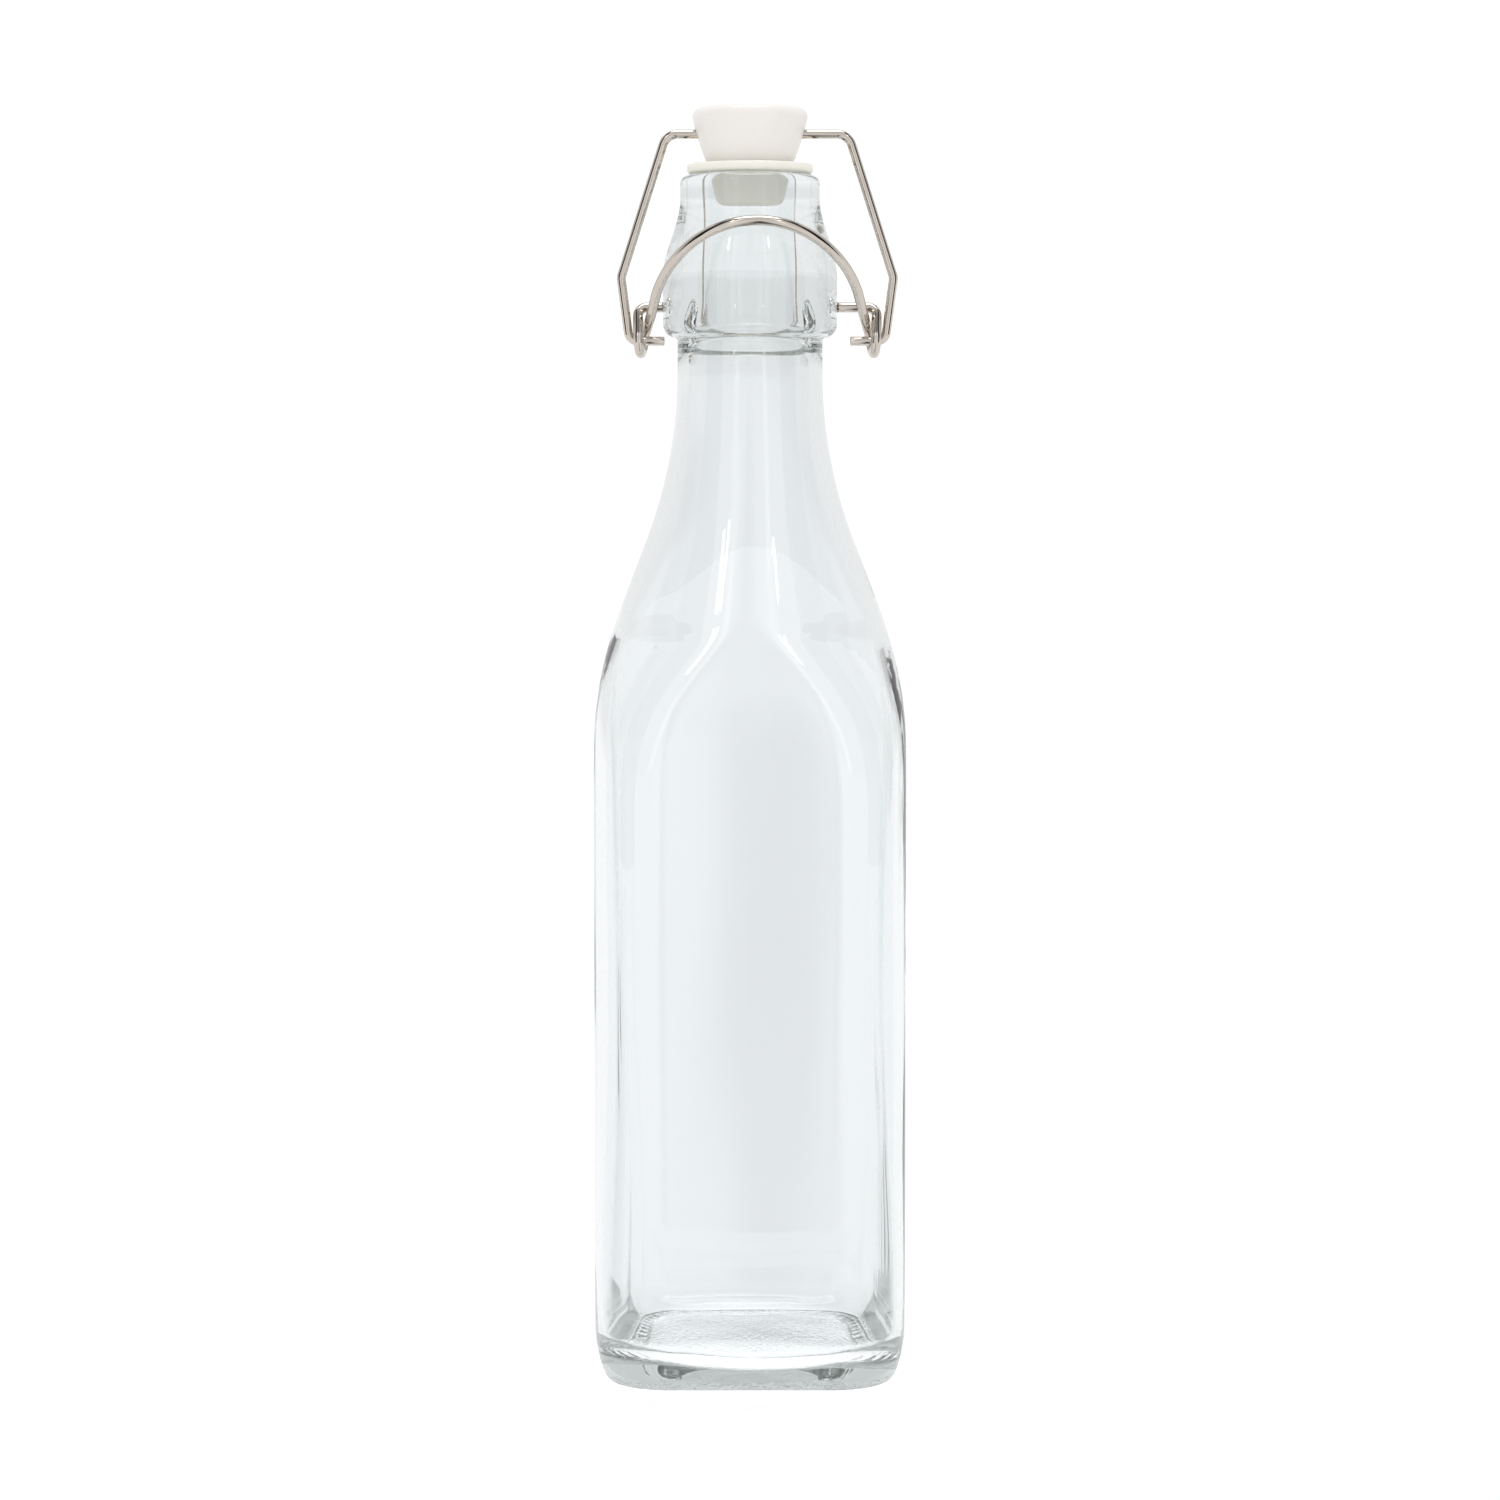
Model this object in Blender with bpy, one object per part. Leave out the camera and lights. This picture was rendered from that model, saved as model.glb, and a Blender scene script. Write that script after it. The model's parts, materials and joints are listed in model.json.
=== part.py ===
"""A swing-top bottle: a square glass bottle of half a litre, closed by a plugged stopper on two bent wires.

The base stands on z = 0 and the bottle's axis is +Z. The front is -Y, and the wires hinge about lines along X.
Five pieces: bottle, stopper_cap, stopper_seal, yoke_wire and lever_wire.
"""

import math

import bmesh
import bpy
from mathutils import Vector

MM = 0.001

# Glass body, a square with rounded corners that is drawn in to a round neck
BODY_HALF_WIDTH = 31.65 * MM
BODY_CORNER_RADIUS = 13.5 * MM
BODY_WALL = 3.0 * MM
SHOULDER_START = 130.8 * MM  # where the sides leave the upright
SHOULDER_ANGLE = math.radians(21.0)  # lean of the straight part of the shoulder
SHOULDER_OUTER_BEND = 75.0 * MM  # radius of the bend from side to shoulder
SHOULDER_INNER_BEND = 98.0 * MM  # radius of the bend from shoulder to neck
ARCH_FOOT_DROP = 15.8 * MM  # the corners keep their radius up to this far below the shoulder's start
ARCH_TIP_RISE = 23.2 * MM  # every section is a circle from this far above it
ARCH_RISE = 2.8  # powers that draw the arch in which each flat ends
ARCH_TIP = 1.4
NECK_RADIUS = 14.9 * MM
NECK_WALL = 3.0 * MM
NECK_LENGTH = 6.401 * MM  # upright part of the neck, up to the collar

# Foot of the bottle
HEEL_INSET = 3.6 * MM  # how far the standing edge lies inside the side
HEEL_HEIGHT = 13.0 * MM
STANDING_RING = 4.8 * MM  # width of the flat that the bottle stands on
FOOT_CORNER_RADIUS = 12.6 * MM  # of the standing edge
PUSH_UP = 2.5 * MM  # rise of the hollow under the foot
FLOOR_THICKNESS = 4.5 * MM  # glass above the standing ring
FLOOR_DOME = 1.6 * MM  # rise of the inner floor towards the middle
INNER_HEEL_RADIUS = 7.5 * MM

# Finish: the thick collar at the mouth, with a blind socket for the lever on each side
COLLAR_OVERHANG = 3.0 * MM  # of the collar past the neck
COLLAR_FILLET = 2.9 * MM
COLLAR_HEIGHT = 11.3 * MM  # up to where the flare starts
FLARE_HEIGHT = 16.4 * MM
FLARE_BULGE = 1.1 * MM  # four times the most by which the flare swells past a slow S
LIP_RADIUS = 14.3 * MM
LIP_HEIGHT = 5.4 * MM
RIM_ROUND = 1.9 * MM
MOUTH_ROUND = 1.4 * MM
BORE_RADIUS = 9.2 * MM
BORE_LENGTH = 24.0 * MM  # from the rim down to where the bore widens
SOCKET_RISE = 6.2 * MM  # lever's axis above the collar's foot
SOCKET_DEPTH = 5.9 * MM
SOCKET_CLEARANCE = 1.25 * MM  # round the lever at the socket's inner end
SOCKET_FLARE = 0.35 * MM  # how much wider its mouth is

# Wires
LEVER_DIAMETER = 2.1 * MM
YOKE_DIAMETER = 1.9 * MM
WIRE_CLEARANCE = 0.35 * MM  # round the yoke in the cap's cross hole
END_FLOAT = 2.0 * MM  # from each end of a centred lever to the end of its socket
SIDE_PLAY = 1.5 * MM  # how far both wires have slid towards +X in that float

# Lever, the wire that a thumb pulls down to open the bottle
BOW_TOP_HEIGHT = 16.8 * MM  # of the bow above the lever's axis
BOW_CLEARANCE = 1.3 * MM  # between the neck and the middle of the closed bow, whose sides come closer
BOW_LENGTH = 27.9 * MM  # of the half ellipse that the bow follows
BOW_END_ANGLE = math.radians(72.0)  # where the bow leaves that ellipse, from its middle
CROSSING_GAP = 0.35 * MM  # where the bow's leg passes the lever's own pivot run
CROSSING_RISE = 0.9 * MM  # the leg is straightened this far past that crossing
EYE_CLEARANCE = 0.6 * MM  # between the eye and the yoke's hook in it
PIVOT_OVERHANG = 6.6 * MM  # bend outside the socket, past the collar
PIVOT_BEND = 1.9 * MM
EYE_FRONT_STEP = 0.2 * MM  # each run of the eye lies this much further in than the pivot's bend
EYE_BACK_STEP = 1.6 * MM
CROSSING_STEP = 2.55 * MM
BOW_STEP_IN = 2.7 * MM
LEG_BEND = 10.5 * MM

# Yoke, the wire that carries the stopper. Its lower ends hook into the lever's eyes.
HOOK_DROP = 6.9 * MM  # hook axis below the lever's axis
HOOK_LEAD = 1.0 * MM  # hook axis in front of it, which holds the closed lever against the neck
YOKE_TOP_OVERHANG = 6.8 * MM  # top corner, past the cap
YOKE_FOOT_STEP = 1.7 * MM  # foot, further out than the lever's bend
YOKE_WIDEST_STEP = 1.7 * MM  # widest point, further out than the foot
YOKE_WIDEST_RISE = 12.9 * MM  # widest point above the hooks
HOOK_STAND_OFF = 4.1 * MM  # from the neck to each cut end of a centred yoke
YOKE_TOP_BEND = 3.2 * MM
YOKE_WIDEST_BEND = 3.0 * MM
YOKE_FOOT_BEND = 2.1 * MM

# Stopper
SEAT_GAP = 0.3 * MM
CAP_RADIUS = 11.8 * MM
CAP_FOOT_RADIUS = 8.9 * MM
CAP_HEIGHT = 11.65 * MM
CAP_EDGE_ROUND = 2.0 * MM
CAP_CROWN = 0.3 * MM
CROSS_HOLE_HEIGHT = 5.95 * MM  # above the cap's foot
STEM_RADIUS = 4.4 * MM
STEM_LENGTH = 6.6 * MM
STEM_BEAD = 0.6 * MM
STEM_BEAD_HEIGHT = 1.4 * MM  # above the stem's end
STEM_TIP = 0.6 * MM  # the end's radius is this much less than the stem's
SEAL_RADIUS = 12.9 * MM
SEAL_THICKNESS = 1.9 * MM
SEAL_EDGE = 0.35 * MM
PLUG_CLEARANCE = 0.9 * MM  # between the plug and the bore
PLUG_TAPER = 1.3 * MM
PLUG_LENGTH = 7.7 * MM
PLUG_ROUND = 2.2 * MM
STEM_CLEARANCE = 0.15 * MM

# How finely round shapes are drawn
BOTTLE_COLUMNS = 40
TURNED_COLUMNS = 40
BEND_STEP = math.radians(15.0)
BOW_STEP = math.radians(9.0)
WIRE_BEVEL_RESOLUTION = 3

# Heights, from the foot up
SHOULDER_SLANT = (
    (BODY_HALF_WIDTH - NECK_RADIUS)
    - (SHOULDER_OUTER_BEND + SHOULDER_INNER_BEND) * (1 - math.cos(SHOULDER_ANGLE))
) / math.tan(SHOULDER_ANGLE)  # height of the shoulder's straight part
SLANT_START = SHOULDER_START + SHOULDER_OUTER_BEND * math.sin(SHOULDER_ANGLE)
SLANT_END = SLANT_START + SHOULDER_SLANT
SHOULDER_END = SLANT_END + SHOULDER_INNER_BEND * math.sin(SHOULDER_ANGLE)
SQUARE_UP_TO = SHOULDER_START - ARCH_FOOT_DROP
ROUND_ABOVE = SHOULDER_START + ARCH_TIP_RISE
NECK_TOP = SHOULDER_END + NECK_LENGTH
COLLAR_TOP = NECK_TOP + COLLAR_HEIGHT
LIP_BOTTOM = COLLAR_TOP + FLARE_HEIGHT
RIM = LIP_BOTTOM + LIP_HEIGHT
BORE_BOTTOM = RIM - BORE_LENGTH
SOCKET_HEIGHT = NECK_TOP + SOCKET_RISE
SEAL_TOP = RIM + SEAT_GAP + SEAL_THICKNESS
CAP_BOTTOM = SEAL_TOP + STEM_CLEARANCE
YOKE_TOP_HEIGHT = CAP_BOTTOM + CROSS_HOLE_HEIGHT
YOKE_FOOT_HEIGHT = SOCKET_HEIGHT - HOOK_DROP

# Widths of what goes round the collar, and of what fits in the bore
COLLAR_RADIUS = NECK_RADIUS + COLLAR_OVERHANG
SOCKET_RADIUS = LEVER_DIAMETER / 2 + SOCKET_CLEARANCE
EYE_RADIUS = (LEVER_DIAMETER + YOKE_DIAMETER) / 2 + EYE_CLEARANCE
PIVOT_HALF = COLLAR_RADIUS + PIVOT_OVERHANG
EYE_FRONT_HALF = PIVOT_HALF - EYE_FRONT_STEP
EYE_BACK_HALF = PIVOT_HALF - EYE_BACK_STEP
CROSSING_HALF = PIVOT_HALF - CROSSING_STEP
BOW_HALF_WIDTH = PIVOT_HALF - BOW_STEP_IN
HOOK_REACH = NECK_RADIUS + HOOK_STAND_OFF
YOKE_FOOT_HALF = PIVOT_HALF + YOKE_FOOT_STEP
YOKE_WIDEST_HALF = YOKE_FOOT_HALF + YOKE_WIDEST_STEP
YOKE_TOP_HALF = CAP_RADIUS + YOKE_TOP_OVERHANG
PLUG_RADIUS = BORE_RADIUS - PLUG_CLEARANCE
PLUG_END_RADIUS = PLUG_RADIUS - PLUG_TAPER


# ---------------------------------------------------------------- scene, materials and helpers


def clear_scene():
    for obj in list(bpy.data.objects):
        bpy.data.objects.remove(obj, do_unlink=True)


def make_material(name, colour, roughness, metallic=0.0, transmission=0.0, ior=1.5):
    material = bpy.data.materials.new(name)
    material.use_nodes = True
    shader = material.node_tree.nodes["Principled BSDF"]
    shader.inputs["Base Color"].default_value = (*colour, 1.0)
    shader.inputs["Roughness"].default_value = roughness
    shader.inputs["Metallic"].default_value = metallic
    shader.inputs["Transmission Weight"].default_value = transmission
    shader.inputs["IOR"].default_value = ior
    return material


def add_object(name, data, material=None, parent=None, at=(0, 0, 0)):
    obj = bpy.data.objects.new(name, data)
    bpy.context.scene.collection.objects.link(obj)
    obj.location = at
    if parent:
        obj.parent = parent
    if material:
        data.materials.append(material)
    return obj


def pivot(name, at, parent=None):
    """An empty on a joint's axis, with its place given in the bottle's frame."""
    empty = add_object(name, None)
    base = parent.matrix_world.translation if parent else Vector()
    empty.parent = parent
    empty.location = Vector(at) - base
    bpy.context.view_layer.update()
    return empty


def arc(centre, radii, start, end, steps):
    """Points of an arc of a circle or an ellipse, both ends included, as (across, up)."""
    points = []
    for i in range(steps + 1):
        angle = start + (end - start) * i / steps
        points.append(
            (
                centre[0] + radii[0] * math.cos(angle),
                centre[1] + radii[1] * math.sin(angle),
            )
        )
    return points


def smoothstep(t):
    t = max(0.0, min(1.0, t))
    return t * t * (3 - 2 * t)


def finish_mesh(name, bm):
    bmesh.ops.recalc_face_normals(bm, faces=bm.faces)
    mesh = bpy.data.meshes.new(name)
    bm.to_mesh(mesh)
    bm.free()
    mesh.shade_smooth()
    mesh.set_sharp_from_angle(angle=math.radians(30))
    return mesh


# ---------------------------------------------------------------- bottle


def outer_half_width(z):
    """Half width of the glass across its flats, from the side up through the shoulder to the neck."""
    if z <= SHOULDER_START:
        return BODY_HALF_WIDTH
    if z <= SLANT_START:
        rise = z - SHOULDER_START
        return (
            BODY_HALF_WIDTH
            - SHOULDER_OUTER_BEND
            + math.sqrt(SHOULDER_OUTER_BEND**2 - rise**2)
        )
    if z <= SLANT_END:
        at_start = BODY_HALF_WIDTH - SHOULDER_OUTER_BEND * (
            1 - math.cos(SHOULDER_ANGLE)
        )
        return at_start - (z - SLANT_START) * math.tan(SHOULDER_ANGLE)
    if z <= SHOULDER_END:
        drop = SHOULDER_END - z
        return (
            NECK_RADIUS
            + SHOULDER_INNER_BEND
            - math.sqrt(SHOULDER_INNER_BEND**2 - drop**2)
        )
    return NECK_RADIUS


def squareness(z):
    """1 where the corners have their full reach, 0 where the section is a circle."""
    rise = (z - SQUARE_UP_TO) / (ROUND_ABOVE - SQUARE_UP_TO)
    return (1 - max(0.0, min(1.0, rise)) ** ARCH_RISE) ** ARCH_TIP


def corner_offset(z):
    """Distance of a corner's centre from the axis, along X and along Y."""
    return (BODY_HALF_WIDTH - BODY_CORNER_RADIUS) * squareness(z)


def outer_ring(z):
    half = outer_half_width(z)
    return half, corner_offset(z), z


def wall_at(z):
    return BODY_WALL + (NECK_WALL - BODY_WALL) * smoothstep(
        (z - SHOULDER_START) / (SHOULDER_END - SHOULDER_START)
    )


def inner_ring(z):
    half = outer_half_width(z) - wall_at(z)
    return half, min(corner_offset(z), half), z


def round_ring(radius, z):
    return radius, 0.0, z


def foot_ring(half, z):
    """A section of the heel, between the body's own shape and that of the standing edge, or under the foot or
    on the floor, of the standing edge's shape made smaller."""
    standing_half = BODY_HALF_WIDTH - HEEL_INSET
    standing_offset = standing_half - FOOT_CORNER_RADIUS
    if half < standing_half:
        return half, standing_offset * half / standing_half, z
    share = (half - standing_half) / HEEL_INSET
    return half, standing_offset + (corner_offset(0) - standing_offset) * share, z


def side_heights():
    """Heights of the sections from the foot to the neck."""
    heights = [HEEL_HEIGHT, SQUARE_UP_TO]
    for start, end, steps in (
        (SQUARE_UP_TO, SHOULDER_START, 3),
        (SHOULDER_START, SLANT_START, 8),
        (SLANT_START, SLANT_END, 2),
        (SLANT_END, SHOULDER_END, 5),
    ):
        heights += [start + (end - start) * (i + 1) / steps for i in range(steps)]
    return heights


def outside_rings():
    standing_half = BODY_HALF_WIDTH - HEEL_INSET
    hollow_half = standing_half - STANDING_RING
    rings = [
        foot_ring(hollow_half * s, PUSH_UP * (1 - s**2)) for s in (0.3, 0.65, 1.0)
    ]
    heel = arc(
        (standing_half, HEEL_HEIGHT), (HEEL_INSET, HEEL_HEIGHT), -math.pi / 2, 0, 7
    )
    rings += [foot_ring(half, z) for half, z in heel[:-1]]
    rings += [outer_ring(z) for z in side_heights()]
    collar_foot = arc(
        (COLLAR_RADIUS - COLLAR_FILLET, NECK_TOP + COLLAR_FILLET),
        (COLLAR_FILLET, COLLAR_FILLET),
        -math.pi / 2,
        0,
        4,
    )
    rings += [round_ring(NECK_RADIUS, NECK_TOP)]
    rings += [round_ring(r, z) for r, z in collar_foot]
    rings += [round_ring(r, z) for r, z in flare()]
    rim_edge = arc(
        (LIP_RADIUS - RIM_ROUND, RIM - RIM_ROUND),
        (RIM_ROUND, RIM_ROUND),
        0,
        math.pi / 2,
        4,
    )
    rings += [round_ring(r, z) for r, z in rim_edge]
    return rings


def flare():
    """Outline of the collar from its widest point up to the lip, a slow S."""
    points = []
    steps = 7
    for i in range(steps + 1):
        t = i / steps
        bulge = (1 - t) * t * FLARE_BULGE
        radius = COLLAR_RADIUS + (LIP_RADIUS - COLLAR_RADIUS) * smoothstep(t) + bulge
        points.append((radius, COLLAR_TOP + (LIP_BOTTOM - COLLAR_TOP) * t))
    return points


def inside_rings():
    mouth = arc(
        (BORE_RADIUS + MOUTH_ROUND, RIM - MOUTH_ROUND),
        (MOUTH_ROUND, MOUTH_ROUND),
        math.pi / 2,
        math.pi,
        3,
    )
    rings = [round_ring(r, z) for r, z in mouth]
    neck_bore = NECK_RADIUS - NECK_WALL
    steps = 5
    for i in range(steps + 1):
        t = i / steps
        radius = BORE_RADIUS + (neck_bore - BORE_RADIUS) * smoothstep(t)
        z = BORE_BOTTOM + (SHOULDER_END - BORE_BOTTOM) * t
        rings.append(round_ring(radius, z))
    rings += [inner_ring(z) for z in reversed(side_heights()[:-1]) if z > HEEL_HEIGHT]
    inner_half = BODY_HALF_WIDTH - BODY_WALL
    corner = BODY_CORNER_RADIUS - BODY_WALL
    floor_half = inner_half - INNER_HEEL_RADIUS
    heel = arc(
        (floor_half, FLOOR_THICKNESS + INNER_HEEL_RADIUS),
        (INNER_HEEL_RADIUS, INNER_HEEL_RADIUS),
        0,
        -math.pi / 2,
        6,
    )
    rings += [(half, half - corner, z) for half, z in heel]
    rings += [
        foot_ring(floor_half * s, FLOOR_THICKNESS + FLOOR_DOME * (1 - s**2))
        for s in (0.7, 0.3)
    ]
    return rings


def ring_points(half, offset, z):
    """One section, anticlockwise from above. Each quarter is an arc round its corner's centre, so the flats
    are the single steps that cross the axes, and a section without corners is an even polygon."""
    quarter = BOTTLE_COLUMNS // 4
    share = offset / (BODY_HALF_WIDTH - BODY_CORNER_RADIUS)
    radius = half - offset
    points = []
    for q in range(4):
        turn = q * math.pi / 2
        for i in range(quarter):
            even = (i + 0.5) / quarter
            full = i / (quarter - 1)
            angle = (even + (full - even) * min(1.0, share)) * math.pi / 2
            x = offset + radius * math.cos(angle)
            y = offset + radius * math.sin(angle)
            points.append(
                Vector(
                    (
                        x * math.cos(turn) - y * math.sin(turn),
                        x * math.sin(turn) + y * math.cos(turn),
                        z,
                    )
                )
            )
    return points


def skin(rings):
    """A closed shell through sections of equally many points, with its first and last section filled."""
    bm = bmesh.new()
    loops = [[bm.verts.new(p) for p in ring_points(*ring)] for ring in rings]
    for lower, upper in zip(loops, loops[1:]):
        for i in range(len(lower)):
            j = (i + 1) % len(lower)
            bm.faces.new((lower[i], lower[j], upper[j], upper[i]))
    bm.faces.new(reversed(loops[0]))
    bm.faces.new(loops[-1])
    return bm


def socket_cutter(side):
    """A blind, slightly flared hole into the collar, on the lever's axis."""
    end = COLLAR_RADIUS - SOCKET_DEPTH
    mouth = COLLAR_RADIUS + 2 * MM
    bm = bmesh.new()
    bmesh.ops.create_cone(
        bm,
        cap_ends=True,
        segments=20,
        radius1=SOCKET_RADIUS,
        radius2=SOCKET_RADIUS + SOCKET_FLARE,
        depth=mouth - end,
    )
    cutter = add_object(f"socket_cutter_{side}", finish_mesh("socket_cutter", bm))
    cutter.location = (side * (mouth + end) / 2, 0, SOCKET_HEIGHT)
    cutter.rotation_euler = (0, side * math.pi / 2, 0)
    cutter.hide_render = True
    cutter.display_type = "WIRE"
    return cutter


def make_bottle(material):
    bm = skin(outside_rings() + inside_rings())
    bottle = add_object("bottle", finish_mesh("bottle", bm), material)
    for side in (-1, 1):
        cut = bottle.modifiers.new("socket", "BOOLEAN")
        cut.operation = "DIFFERENCE"
        cut.object = socket_cutter(side)
    return bottle


# ---------------------------------------------------------------- wires


def bent(corners, bends):
    """A path through corners, each but the ends turned into an arc of its own bend radius."""
    corners = [Vector(c) for c in corners]
    path = [corners[0]]
    for before, corner, after, radius in zip(corners, corners[1:], corners[2:], bends):
        into = (corner - before).normalized()
        away = (after - corner).normalized()
        turn = into.angle(away)
        reach = radius * math.tan(turn / 2)
        normal = into.cross(away).normalized()
        centre = corner - into * reach + normal.cross(into) * radius
        spoke = corner - into * reach - centre
        steps = max(2, round(turn / BEND_STEP))
        for i in range(steps + 1):
            angle = turn * i / steps
            path.append(
                centre
                + spoke * math.cos(angle)
                + normal.cross(spoke) * math.sin(angle)
            )
    path.append(corners[-1])
    return path


def mirrored(half_path):
    """The whole of a wire from its half at +X, which starts at the wire's end and stops at the middle."""
    other = [Vector((-p.x, p.y, p.z)) for p in half_path]
    if abs(half_path[-1].x) < 0.01 * MM:
        other = other[:-1]
    return half_path + other[::-1]


def shifted(path):
    return [p + Vector((SIDE_PLAY, 0, 0)) for p in path]


def make_wire(name, path, diameter, material, parent):
    """A round wire along a path given in the bottle's frame, hung on its joint's empty."""
    curve = bpy.data.curves.new(name, "CURVE")
    curve.dimensions = "3D"
    curve.bevel_depth = diameter / 2
    curve.bevel_resolution = WIRE_BEVEL_RESOLUTION
    curve.use_fill_caps = True
    spline = curve.splines.new("POLY")
    spline.points.add(len(path) - 1)
    origin = parent.matrix_world.translation
    for point, place in zip(spline.points, path):
        point.co = (*(place - origin), 1.0)
    return add_object(name, curve, material, parent)


def yoke_path():
    """From a hook's cut end out to the foot, up to the widest point, in to the top and across."""
    lean = HOOK_LEAD / (YOKE_TOP_HEIGHT - YOKE_FOOT_HEIGHT)

    def at(x, z):
        return (x, -lean * (YOKE_TOP_HEIGHT - z), z)

    corners = [
        at(HOOK_REACH, YOKE_FOOT_HEIGHT),
        at(YOKE_FOOT_HALF, YOKE_FOOT_HEIGHT),
        at(YOKE_WIDEST_HALF, YOKE_FOOT_HEIGHT + YOKE_WIDEST_RISE),
        at(YOKE_TOP_HALF, YOKE_TOP_HEIGHT),
        at(0, YOKE_TOP_HEIGHT),
    ]
    bends = [YOKE_FOOT_BEND, YOKE_WIDEST_BEND, YOKE_TOP_BEND]
    return shifted(mirrored(bent(corners, bends)))


def neck_radius_behind_bow():
    """Radius of the glass at the height of the bow's middle."""
    height = SOCKET_HEIGHT + BOW_TOP_HEIGHT
    for (r0, z0), (r1, z1) in zip(flare(), flare()[1:]):
        if z0 <= height <= z1:
            return r0 + (r1 - r0) * (height - z0) / (z1 - z0)
    return COLLAR_RADIUS


def lever_path():
    """From the end in its socket along the pivot and out, down the front of the eye, up its back, and along
    the leg to the middle of the bow. In (forward, up), both are measured from the lever's axis."""
    wire = LEVER_DIAMETER / 2
    bow_forward = neck_radius_behind_bow() + BOW_CLEARANCE + wire
    top = Vector((bow_forward, BOW_TOP_HEIGHT))
    hook = Vector((HOOK_LEAD, -HOOK_DROP))
    miss = 2 * wire + CROSSING_GAP
    lean = math.atan2(top.y, top.x) + math.asin(miss / top.length)
    along = Vector((math.cos(lean), math.sin(lean)))  # up the leg
    ahead = Vector((math.sin(lean), -math.cos(lean)))  # square to the leg, away from the neck
    leg = (top - hook).dot(along)
    eye = top - along * leg + ahead * EYE_RADIUS

    def at(x, place):
        return Vector((x, -place.x, SOCKET_HEIGHT + place.y))

    # The straight run from the pivot touches the eye's circle on its front.
    reach = math.sqrt(eye.length_squared - EYE_RADIUS**2)
    touch_angle = math.atan2(eye.x, -eye.y) + math.asin(EYE_RADIUS / eye.length)
    touch = Vector((math.sin(touch_angle), -math.cos(touch_angle))) * reach
    front = touch - eye
    sweep = math.pi + (math.atan2(front.y, front.x) - math.atan2(ahead.y, ahead.x)) % math.tau
    steps = math.ceil(sweep / BEND_STEP)
    pivot_run = bent(
        [
            at(COLLAR_RADIUS - SOCKET_DEPTH + END_FLOAT, Vector((0, 0))),
            at(PIVOT_HALF, Vector((0, 0))),
            at(EYE_FRONT_HALF, touch),
        ],
        [PIVOT_BEND],
    )
    loop = []
    for i in range(1, steps + 1):
        share = i / steps
        angle = -sweep * share
        spoke = Vector(
            (
                front.x * math.cos(angle) - front.y * math.sin(angle),
                front.x * math.sin(angle) + front.y * math.cos(angle),
            )
        )
        half = EYE_FRONT_HALF + (EYE_BACK_HALF - EYE_FRONT_HALF) * share**1.6
        loop.append(at(half, eye + spoke))

    crossing_depth = top.length * math.cos(math.asin(miss / top.length))
    crossing = at(CROSSING_HALF, top - along * (crossing_depth + CROSSING_RISE))
    bow = []
    steps = math.ceil(BOW_END_ANGLE / BOW_STEP)
    for i in range(steps + 1):
        angle = BOW_END_ANGLE * (1 - i / steps)
        drop = BOW_LENGTH * (1 - math.cos(angle))
        bow.append(at(BOW_HALF_WIDTH * math.sin(angle), top - along * drop))
    leg_run = bent([loop[-1], crossing, bow[0]], [LEG_BEND])
    half_path = pivot_run + loop + leg_run[1:-1] + bow
    return shifted(mirrored(half_path))


# ---------------------------------------------------------------- stopper


def turned(name, outline):
    """A solid of revolution from its outline, given as (radius, height) from axis to axis."""
    bm = bmesh.new()
    verts = [bm.verts.new((r, 0, z)) for r, z in outline]
    edges = [bm.edges.new(pair) for pair in zip(verts, verts[1:])]
    bmesh.ops.spin(
        bm,
        geom=verts + edges,
        cent=(0, 0, 0),
        axis=(0, 0, 1),
        angle=2 * math.pi,
        steps=TURNED_COLUMNS,
        use_merge=True,
    )
    bmesh.ops.remove_doubles(bm, verts=bm.verts, dist=0.0001 * MM)
    return finish_mesh(name, bm)


def cap_outline(base):
    """The white cap with its stem and snap bead, heights measured from base."""
    bottom = CAP_BOTTOM - base
    top = bottom + CAP_HEIGHT
    stem_end = bottom - STEM_LENGTH
    points = [(0, stem_end), (STEM_RADIUS - STEM_TIP, stem_end)]
    bead = stem_end + STEM_BEAD_HEIGHT
    points += [
        (STEM_RADIUS + STEM_BEAD, bead),
        (STEM_RADIUS, bead + STEM_BEAD),
        (STEM_RADIUS, bottom),
        (CAP_FOOT_RADIUS, bottom),
    ]
    rise = CAP_HEIGHT - CAP_EDGE_ROUND - CAP_CROWN
    steps = 6
    for i in range(1, steps + 1):
        t = i / steps
        bulge = 1 - (1 - t) ** 2
        radius = CAP_FOOT_RADIUS + (CAP_RADIUS - CAP_FOOT_RADIUS) * (
            0.75 * t + 0.25 * bulge
        )
        points.append((radius, bottom + rise * t))
    edge = arc(
        (CAP_RADIUS - CAP_EDGE_ROUND, top - CAP_CROWN - CAP_EDGE_ROUND),
        (CAP_EDGE_ROUND, CAP_EDGE_ROUND),
        0,
        math.pi / 2,
        4,
    )
    return points + edge[1:] + [(CAP_RADIUS * 0.45, top - CAP_CROWN * 0.2), (0, top)]


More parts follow.
